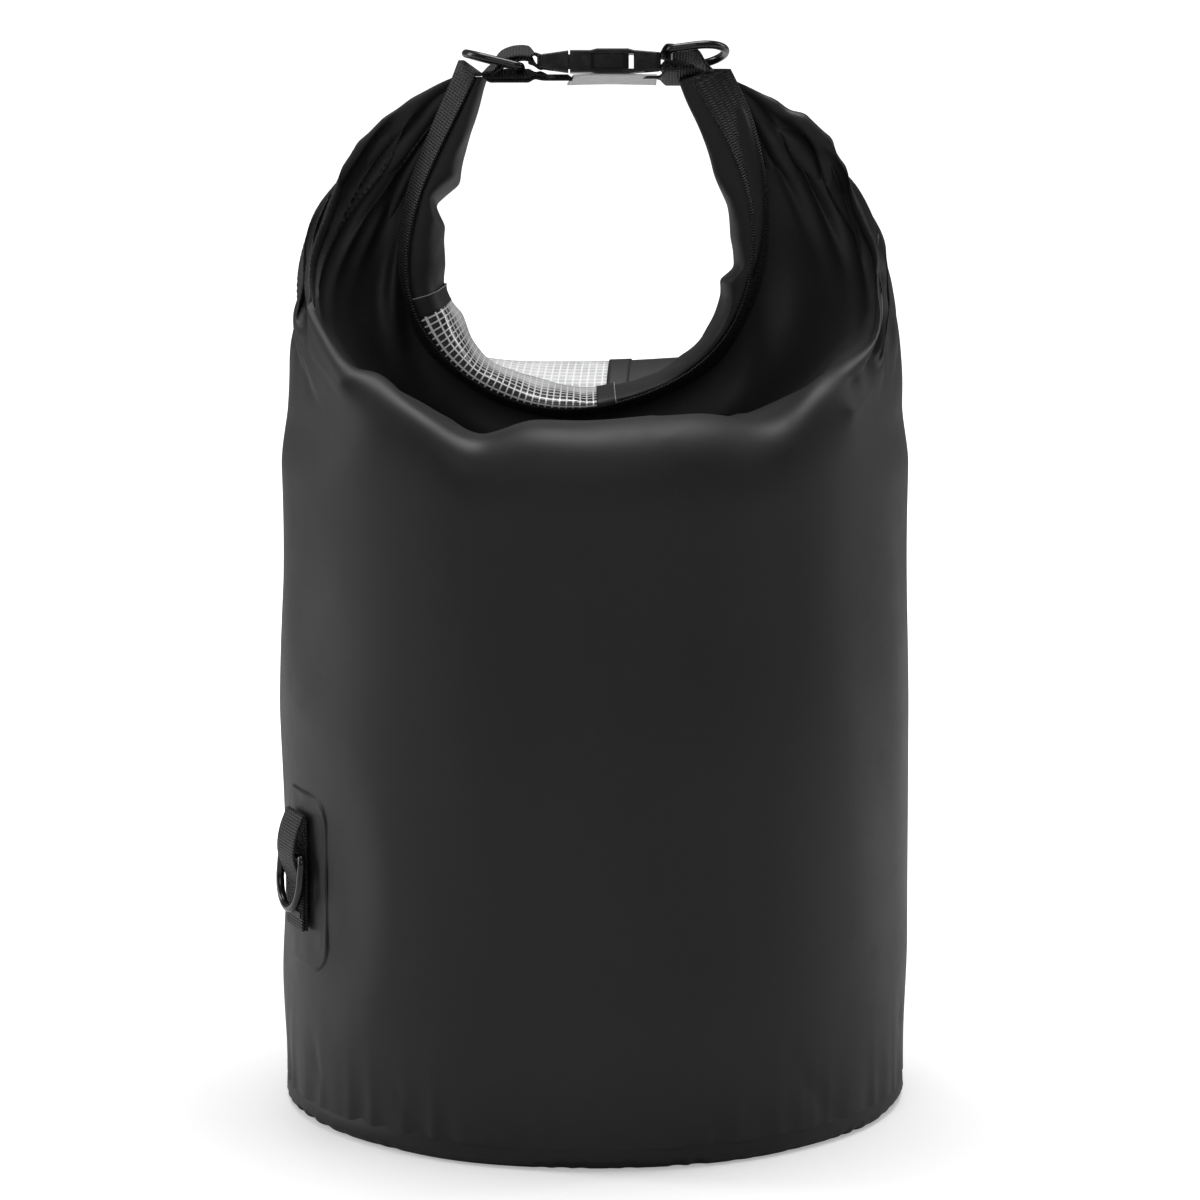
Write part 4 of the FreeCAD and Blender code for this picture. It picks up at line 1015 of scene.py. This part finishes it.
def ribbon(name, line, place, thickness=STRAP_THICKNESS, slant=0.0, spacing=0.8, body="bag"):
    """Webbing: a flat section with rounded edges, carried along a line square to its tangent.

    place() puts (along, across, up) in the frame, and slant cuts the first end askew.
    """
    dense = curve_through(line, spacing)
    tangent = np.gradient(dense, axis=0)
    tangent /= np.linalg.norm(tangent, axis=1, keepdims=True)
    reach = np.concatenate([[0], np.cumsum(np.linalg.norm(np.diff(dense, axis=0), axis=1))])
    width, edge = STRAP_WIDTH, thickness / 2
    angles = np.radians(np.linspace(-90, 90, 5))
    side = [(width / 2 - edge + edge * math.cos(a), edge * math.sin(a)) for a in angles]
    flat = [(f * (width / 2 - edge), edge) for f in np.linspace(1, -1, 11)[1:-1]]
    profile = side + flat + [(-y, -v) for y, v in side] + [(y, -v) for y, v in flat[::-1]]
    across = np.array([p[0] for p in profile])[None, :]
    up = np.array([p[1] for p in profile])[None, :]
    along = dense[:, :1] - tangent[:, 1:] * up
    high = dense[:, 1:] + tangent[:, :1] * up
    if slant:
        fade = np.clip(1 - reach / 14.0, 0, 1)[:, None]
        along = along + slant * across * fade * tangent[:1, :1]
    points = place(along, across + 0 * along, high)
    uv = stack((across + 0 * along) * MM, reach[:, None] * MM + 0 * along)
    return grid_object(name, points, uv, wrap=True, close_ends=True, body=body)


def tipped(s, y, v, upper, lower):
    """Tips a strap's upper or lower layer about its length, in degrees, away from the buckle's bar."""
    away = smooth((s - BUCKLE_LENGTH / 2 - 0.5) / 4) * smooth((STRAP_REACH + 3 - s) / 7)
    tail = 1 - smooth((s - BUCKLE_LENGTH / 2 + 4) / 8)
    high = smooth((v + 3.5) / 5)
    turn = np.radians(upper * high * away + (lower * (1 - high)) * (0.55 * tail + away))
    return v + y * np.sin(turn)


def in_left_strap(s, y, v):
    """The left strap's own frame, its layers tipped, to the bag's."""
    return gear_place(-s, y, tipped(s, y, v, 13.0, 10.0))


def in_right_strap(s, y, v):
    """The right strap's own frame, twisted between its bar and its end, to the bag's."""
    turned = smooth((s - BUCKLE_LENGTH / 2 + 1) / 4) * smooth((STRAP_REACH + 1 - s) / 9)
    twist = math.radians(-17.0) * turned
    c, n = np.cos(twist), np.sin(twist)
    return gear_place(s, y * c - v * n, y * n + v * c)


left_line = loop_line(14.0, 38.0, 5.2, False)
strap_left_web = ribbon("strap_left_web", left_line, in_left_strap, slant=0.1, body=None)
dress(strap_left_web, WEB)
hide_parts("strap_left")
fold_line = [(27.0, -5.7), (34.0, -5.8), (44.0, -5.8), (51.0, -5.9), (57.0, -6.1), (61.0, -6.0)]
strap_left_fold = ribbon("strap_left_fold", fold_line, in_left_strap, slant=0.15, body=None)
dress(strap_left_fold, WEB)
cover_line = [(33.6, 3.2), (37.0, 3.5), (41.0, 2.6), (45.5, 0.2), (50.0, -3.4), (52.5, -5.0)]
strap_left_inner = ribbon("strap_left_inner", cover_line, in_left_strap, body=None)
dress(strap_left_inner, WEB)
right_line = loop_line(20.0, 34.2, 4.7, True)
strap_right_web = ribbon("strap_right_web", right_line, in_right_strap, slant=-0.25)
dress(strap_right_web, WEB)
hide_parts("strap_right")



def in_guard(x, y, v):
    """The guard sheet's own frame, tipped forward about its length, to the bag's."""
    return gear_place(x, y, v + 0.4 - 0.16 * y)


guard_line = [(-14.0, -9.2), (-6.0, -8.9), (4.0, -8.7), (14.0, -8.8), (21.0, -9.0), (28.0, -9.1)]
guard_sheet = ribbon("guard_sheet", guard_line, in_guard, 0.9, slant=-0.12, spacing=1.2)
dress(guard_sheet, PALE)
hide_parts("guard_tab")


# ---------------------------------------------------------------- the side tab and its patch


def beside(r, y, z):
    """From the side tab's own frame, radial, sideways and up in mm, to the bag's."""
    c, s = math.cos(SIDE_ANGLE), math.sin(SIDE_ANGLE)
    return stack(r * c - y * s, r * s + y * c, z)


def make_patch():
    """The patch: rings of one rounded rectangle at growing sizes, laid on the wall, thin at its edge."""
    steps_round, inner_rings, edge_rings = 192, 28, 12
    half_w, half_h, corner, middle = 28.5, 44.0, 15.0, TAB_HEIGHT
    angle = np.linspace(0, 2 * math.pi, steps_round, endpoint=False)
    c, s = np.cos(angle), np.sin(angle)
    box_w, box_h = half_w - corner, half_h - corner
    reach = 1 / np.maximum(np.maximum(np.abs(c) / half_w, np.abs(s) / half_h), 1e-9)
    px, pz = c * reach, s * reach
    over_x, over_z = np.maximum(np.abs(px) - box_w, 0), np.maximum(np.abs(pz) - box_h, 0)
    long = np.maximum(np.hypot(over_x, over_z), 1e-9)
    cut = np.minimum(1, corner / long)
    px = np.sign(px) * (np.minimum(np.abs(px), box_w) + over_x * cut)
    pz = np.sign(pz) * (np.minimum(np.abs(pz), box_h) + over_z * cut)
    rows = []
    for f in [*np.linspace(0.02, 0.9, inner_rings), *np.linspace(0.91, 1.0, edge_rings)]:
        edge = (1 - f) * half_w
        lift = 0.15 + 0.8 * smooth(edge / 0.9) - 0.12 * np.exp(-(((edge - 3.4) / 0.9) ** 2))
        lift = lift + 0.16 * waves(61, 6, (14, 40), px * f, pz * f)
        rows.append(patch_point(px * f, middle + pz * f, lift))
    return grid_object("patch_side", np.array(rows), wrap=True)


def patch_point(sideways, z, lift):
    """A point over the wall, sideways along it, at a height."""
    angle = SIDE_ANGLE + sideways / RADIUS
    return stack((RADIUS + lift) * np.cos(angle), (RADIUS + lift) * np.sin(angle), z)


patch_side = make_patch()
dress(patch_side, CLOTH)
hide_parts("side_patch")


def side_tab_line():
    """The tab's line in (radial, up): up the wall, over its top fold, round the ring's bar and down."""
    ground = 154.25 + 0.25 + STRAP_WIDTH**2 / 8 / 154.25
    back = ground + STRAP_THICKNESS / 2
    front = back + STRAP_THICKNESS + 0.15
    bar = back + STRAP_THICKNESS / 2 + 0.35 + 2.0
    crown = bar + 2.0 + 0.35 + STRAP_THICKNESS / 2
    low, high, middle = 97.0, 155.0, 134.0
    line = [(back, low), (back, (low + middle) / 2), (back, middle), (back, high - 4)]
    line += [(back + 0.15, high - 1.6), ((back + front) / 2, high - 0.9), (front - 0.1, high - 1.7)]
    line += [(front + 0.9, high - 4), (front + 2.9, middle + 12), (crown - 0.2, middle + 5.4)]
    line += [(crown, middle), (crown - 0.9, middle - 4.4), (front + 2.0, middle - 9)]
    line += [(front + 0.2, middle - 14), (front, middle - 19), (front, middle - 25), (front, low)]
    return line


tab_side_web = ribbon("tab_side_web", side_tab_line(), beside)
dress(tab_side_web, WEB)
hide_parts("side_tab")

# ---------------------------------------------------------------- CAD nodes that stay

for label, material in (
    ("buckle_male", BUCKLE_PLASTIC),
    ("buckle_arm_front", BUCKLE_PLASTIC),
    ("buckle_arm_rear", BUCKLE_PLASTIC),
    ("buckle_female", BUCKLE_PLASTIC),
    ("ring_left", RING_PLASTIC),
    ("ring_right", RING_PLASTIC),
    ("ring_side", RING_PLASTIC),
    ("side_tab_bartack", THREAD),
):
    for slot in nodes[label].material_slots:
        slot.material = material

# the left strap's three layers, on no body, have their placing baked into their meshes
for layer in (strap_left_web, strap_left_fold, strap_left_inner):
    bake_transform(layer)

# ---------------------------------------------------------------- studio


def area_light(name, place, aim, size, power):
    """A rectangular light at a place, facing its aim."""
    data = bpy.data.lights.new(name, "AREA")
    data.shape = "RECTANGLE"
    data.size, data.size_y = size
    data.energy = power
    made = bpy.data.objects.new(name, data)
    scene.collection.objects.link(made)
    made.location = place
    made.rotation_euler = (Vector(aim) - Vector(place)).to_track_quat("-Z", "Y").to_euler()
    return made


def make_floor():
    """A white floor: full white to the camera away from the bag, pale grey to all that it lights."""
    bpy.ops.mesh.primitive_plane_add(size=40, location=(0, 0, -0.0004))
    floor = bpy.context.object
    floor.name = "studio_floor"
    material, tree, shader = new_material("Studio floor")
    shader.inputs["Base Color"].default_value = (0.8, 0.8, 0.8, 1)
    shader.inputs["Roughness"].default_value = 0.9
    shader.inputs["Specular IOR Level"].default_value = 0.0
    shader.inputs["Emission Color"].default_value = (1, 1, 1, 1)
    ray = node(tree, "ShaderNodeLightPath")
    place = node(tree, "ShaderNodeTexCoord").outputs["Object"]
    away = node(tree, "ShaderNodeVectorMath", operation="LENGTH", i0=place).outputs["Value"]
    glow = ramp(tree, away, 0.2, 0.9, 0.35, 1.0)
    strength = math_node(tree, "MULTIPLY", ray.outputs["Is Camera Ray"], glow)
    tree.links.new(strength, shader.inputs["Emission Strength"])
    floor.data.materials.append(material)
    return floor


make_floor()
area_light("top_softbox", (0.1, 0.3, 2.6), (0, 0, 0.2), (1.8, 1.4), 62)
area_light("left_strip", (-2.4, 0.5, 1.0), (0, 0, 0.3), (0.5, 2.2), 24)
area_light("right_strip", (2.4, 0.9, 1.2), (0, 0, 0.35), (0.5, 2.0), 13)
area_light("front_fill", (-0.7, -3.6, 2.2), (0, 0, 0.3), (2.6, 1.6), 22)

world = bpy.data.worlds.new("Studio")
scene.world = world
world.use_nodes = True
tree = world.node_tree
background = tree.nodes["Background"]
ray = node(tree, "ShaderNodeLightPath")
tone = mix_colour(tree, ray.outputs["Is Camera Ray"], (0.16, 0.16, 0.16, 1), (1, 1, 1, 1))
tree.links.new(tone, background.inputs["Color"])
background.inputs["Strength"].default_value = 1.0
scene.view_settings.view_transform = "Standard"

camera_data = bpy.data.cameras.new("Camera")
camera = bpy.data.objects.new("Camera", camera_data)
scene.collection.objects.link(camera)
scene.camera = camera
camera.location = (0.0025, -3.0, 0.8057)
camera_data.sensor_width = 36
camera_data.lens = 185.1
camera_data.clip_end = 100
aim = Vector((0.0025, 0.0, 0.24874))
camera.rotation_euler = (aim - camera.location).to_track_quat("-Z", "Y").to_euler()
